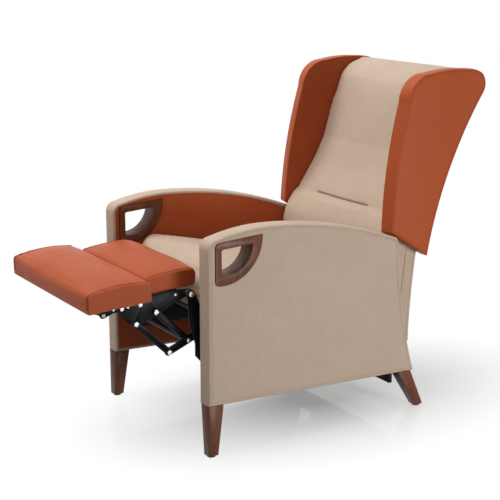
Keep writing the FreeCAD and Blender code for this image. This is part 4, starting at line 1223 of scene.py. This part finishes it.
class RECLINER_OT_mechanism(bpy.types.Operator):
    """Black steel links, plates and tubes with their edges eased"""
    bl_idname = "recliner.mechanism"
    bl_label = "Mechanism"

    def execute(self, context):
        names = ["torque_tube", "crank_cross_tube", "footrest_cross_tube", "rear_cross_rail",
                 "corner_brackets", "recline_brackets"]
        names += [f"{stem}_{word}" for word, _ in SIDES for stem in (
            "side_plate", "crank_arm", "lower_strut", "upper_strut", "footrest_bracket",
            "seat_runner")]
        for node in names:
            width = 0.0009 if "tube" in node or "rail" in node else 0.0006
            softened(node, f"{node}_steel", width, "black_steel")
        return {"FINISHED"}


class RECLINER_OT_rivets(bpy.types.Operator):
    """Domed heads on every rivet and pin"""
    bl_idname = "recliner.rivets"
    bl_label = "Rivet heads"

    def execute(self, context):
        heads = {}
        for node in ("crank_rivets", "bracket_rivets", "footrest_hinge_pins"):
            for points, _ in shells(node):
                array = np.array([tuple(p) for p in points])
                side = 1 if array[:, 0].mean() > 0 else -1
                reach = (array[:, 0] * side).max()
                rim = array[array[:, 0] * side > reach - 1e-4]
                centre = rim.mean(0)
                radius = float(np.linalg.norm((rim - centre)[:, 1:], axis=1).max())
                spot = (side * (reach - 0.0003), centre[1], centre[2])
                heads.setdefault(body_of(node), []).append((spot, radius * 0.93))
        for body, found in heads.items():
            mesh = from_lists(f"{body}_rivet_heads", [spot for spot, _ in found], [])
            sizes = mesh.attributes.new("head_radius", "FLOAT", "POINT")
            sizes.data.foreach_set("value", [radius for _, radius in found])
            grown(f"{body}_rivet_heads", mesh, rivet_tree("Rivet heads"), body, "zinc_steel",
                  rise=0.34, material=zinc())
        return {"FINISHED"}


class RECLINER_OT_inner_frame(bpy.types.Operator):
    """Finishes on the boards, rails, webbing, bolts and glides that stay as they are"""
    bl_idname = "recliner.inner_frame"
    bl_label = "Inner frame"

    def execute(self, context):
        for row in frame["record"]["subparts"]:
            node = NODES[row["node"]]
            if not node.hide_render:
                node.data.materials.clear()
                node.data.materials.append(MADE[row["material_slot"]]())
        return {"FINISHED"}


class RECLINER_OT_stage(bpy.types.Operator):
    """Floor, lamps, world and camera"""
    bl_idname = "recliner.stage"
    bl_label = "Stage"

    def execute(self, context):
        scene = context.scene
        settings = studio()
        self.floor()
        self.world(settings.ambient)
        self.lamp("key", (-0.5, -0.9, 3.4), (0.0, -0.1, 0.4), 2.6, settings.key)
        self.lamp("side", (3.2, 1.0, 0.45), (0.0, 0.0, 0.45), 1.1, settings.side)
        self.lamp("fill", (0.4, -3.8, 1.4), (0.0, 0.0, 0.5), 2.2, settings.fill)
        camera = bpy.data.cameras.new("camera")
        camera.lens = settings.lens
        camera.sensor_width = 36
        camera.clip_end = 100
        ahead = (-math.sin(settings.turn) * math.cos(settings.tip),
                 math.cos(settings.turn) * math.cos(settings.tip), -math.sin(settings.tip))
        scene.camera = self.put("camera", camera, (3.2834, ARM_FRONT - 1.7415, 1.4857), ahead)
        scene.view_settings.view_transform = "Standard"
        return {"FINISHED"}

    def put(self, name, data, place, ahead):
        """A lamp or camera at a place, turned to look ahead."""
        thing = in_scene(name, data)
        thing.location = place
        thing.rotation_euler = Vector(ahead).to_track_quat("-Z", "Y").to_euler()
        return thing

    def lamp(self, name, place, aim, size, power):
        data = bpy.data.lights.new(name, "AREA")
        data.size = size
        data.energy = power
        self.put(name, data, place, Vector(aim) - Vector(place))

    def floor(self):
        """A pale floor that turns white away from the shadow under the chair."""
        mesh = from_lists("floor", [(-30, -30, 0), (30, -30, 0), (30, 30, 0), (-30, 30, 0)],
                          [(0, 1, 2, 3)])
        material, tree, shader = blank("Pale floor")
        place = object_place(tree)
        under = add(tree, "ShaderNodeMapping", {"Location": (-0.078, -0.192, 0.0),
                                                "Scale": (1.3, 0.8, 1.0), "Vector": place})
        far = add(tree, "ShaderNodeVectorMath", {0: under.outputs["Vector"]}, operation="LENGTH")
        tone = mixed(tree, noise(tree, place, 1.5, 2.0), (0.86, 0.86, 0.86, 1),
                     (0.88, 0.88, 0.88, 1))
        wire(tree, shader, {"Base Color": mixed(tree, seen(tree), (0.17, 0.17, 0.17, 1), tone),
                            "Roughness": 0.06, "Specular IOR Level": 0.3})
        away = ranged(tree, far.outputs["Value"], 0.1, 0.72, 0.22, 1.0)
        blended(tree, calc(tree, "MULTIPLY", away, seen(tree)), shader,
                add(tree, "ShaderNodeEmission"), "Material Output")
        link("floor", mesh, material)

    def world(self, ambient):
        world = bpy.data.worlds.new("studio")
        world.use_nodes = True
        tree = world.node_tree
        white = {"Color": (1, 1, 1, 1)}
        light = wire(tree, tree.nodes["Background"], {**white, "Strength": ambient})
        backdrop = add(tree, "ShaderNodeBackground", {**white, "Strength": 1.0})
        blended(tree, seen(tree), light, backdrop, "World Output")
        bpy.context.scene.world = world


class RECLINER_PT_panel(bpy.types.Panel):
    """Lists the recliner's pieces"""
    bl_idname = "RECLINER_PT_panel"
    bl_label = "Recliner"
    bl_space_type = "VIEW_3D"
    bl_region_type = "UI"
    bl_category = "Recliner"

    def draw(self, context):
        layout = self.layout
        for settings in (covers(), finish(), studio()):
            box = layout.box()
            for key in settings.bl_rna.properties.keys():
                if key not in ("rna_type", "name"):
                    box.prop(settings, key)
        for operator in OPERATORS:
            layout.operator(operator.bl_idname)


GROUPS = {"recliner_covers": ReclinerCovers, "recliner_finish": ReclinerFinish,
          "recliner_studio": ReclinerStudio}
OPERATORS = (RECLINER_OT_arms, RECLINER_OT_wings, RECLINER_OT_seat, RECLINER_OT_footrest_pads,
             RECLINER_OT_back, RECLINER_OT_back_panels, RECLINER_OT_woodwork,
             RECLINER_OT_mechanism, RECLINER_OT_rivets, RECLINER_OT_inner_frame,
             RECLINER_OT_stage)
CLASSES = (*GROUPS.values(), *OPERATORS, RECLINER_PT_panel)


def register():
    for kind in CLASSES:
        bpy.utils.register_class(kind)
    for name, group in GROUPS.items():
        setattr(bpy.types.Scene, name, PointerProperty(type=group))


def unregister():
    for name in GROUPS:
        delattr(bpy.types.Scene, name)
    for kind in reversed(CLASSES):
        bpy.utils.unregister_class(kind)


def main():
    register()
    bpy.ops.recliner.arms()
    bpy.ops.recliner.wings()
    bpy.ops.recliner.seat()
    bpy.ops.recliner.footrest_pads()
    bpy.ops.recliner.back()
    bpy.ops.recliner.back_panels()
    bpy.ops.recliner.woodwork()
    bpy.ops.recliner.mechanism()
    bpy.ops.recliner.rivets()
    bpy.ops.recliner.inner_frame()
    bpy.ops.recliner.stage()


if __name__ == "__main__":
    main()
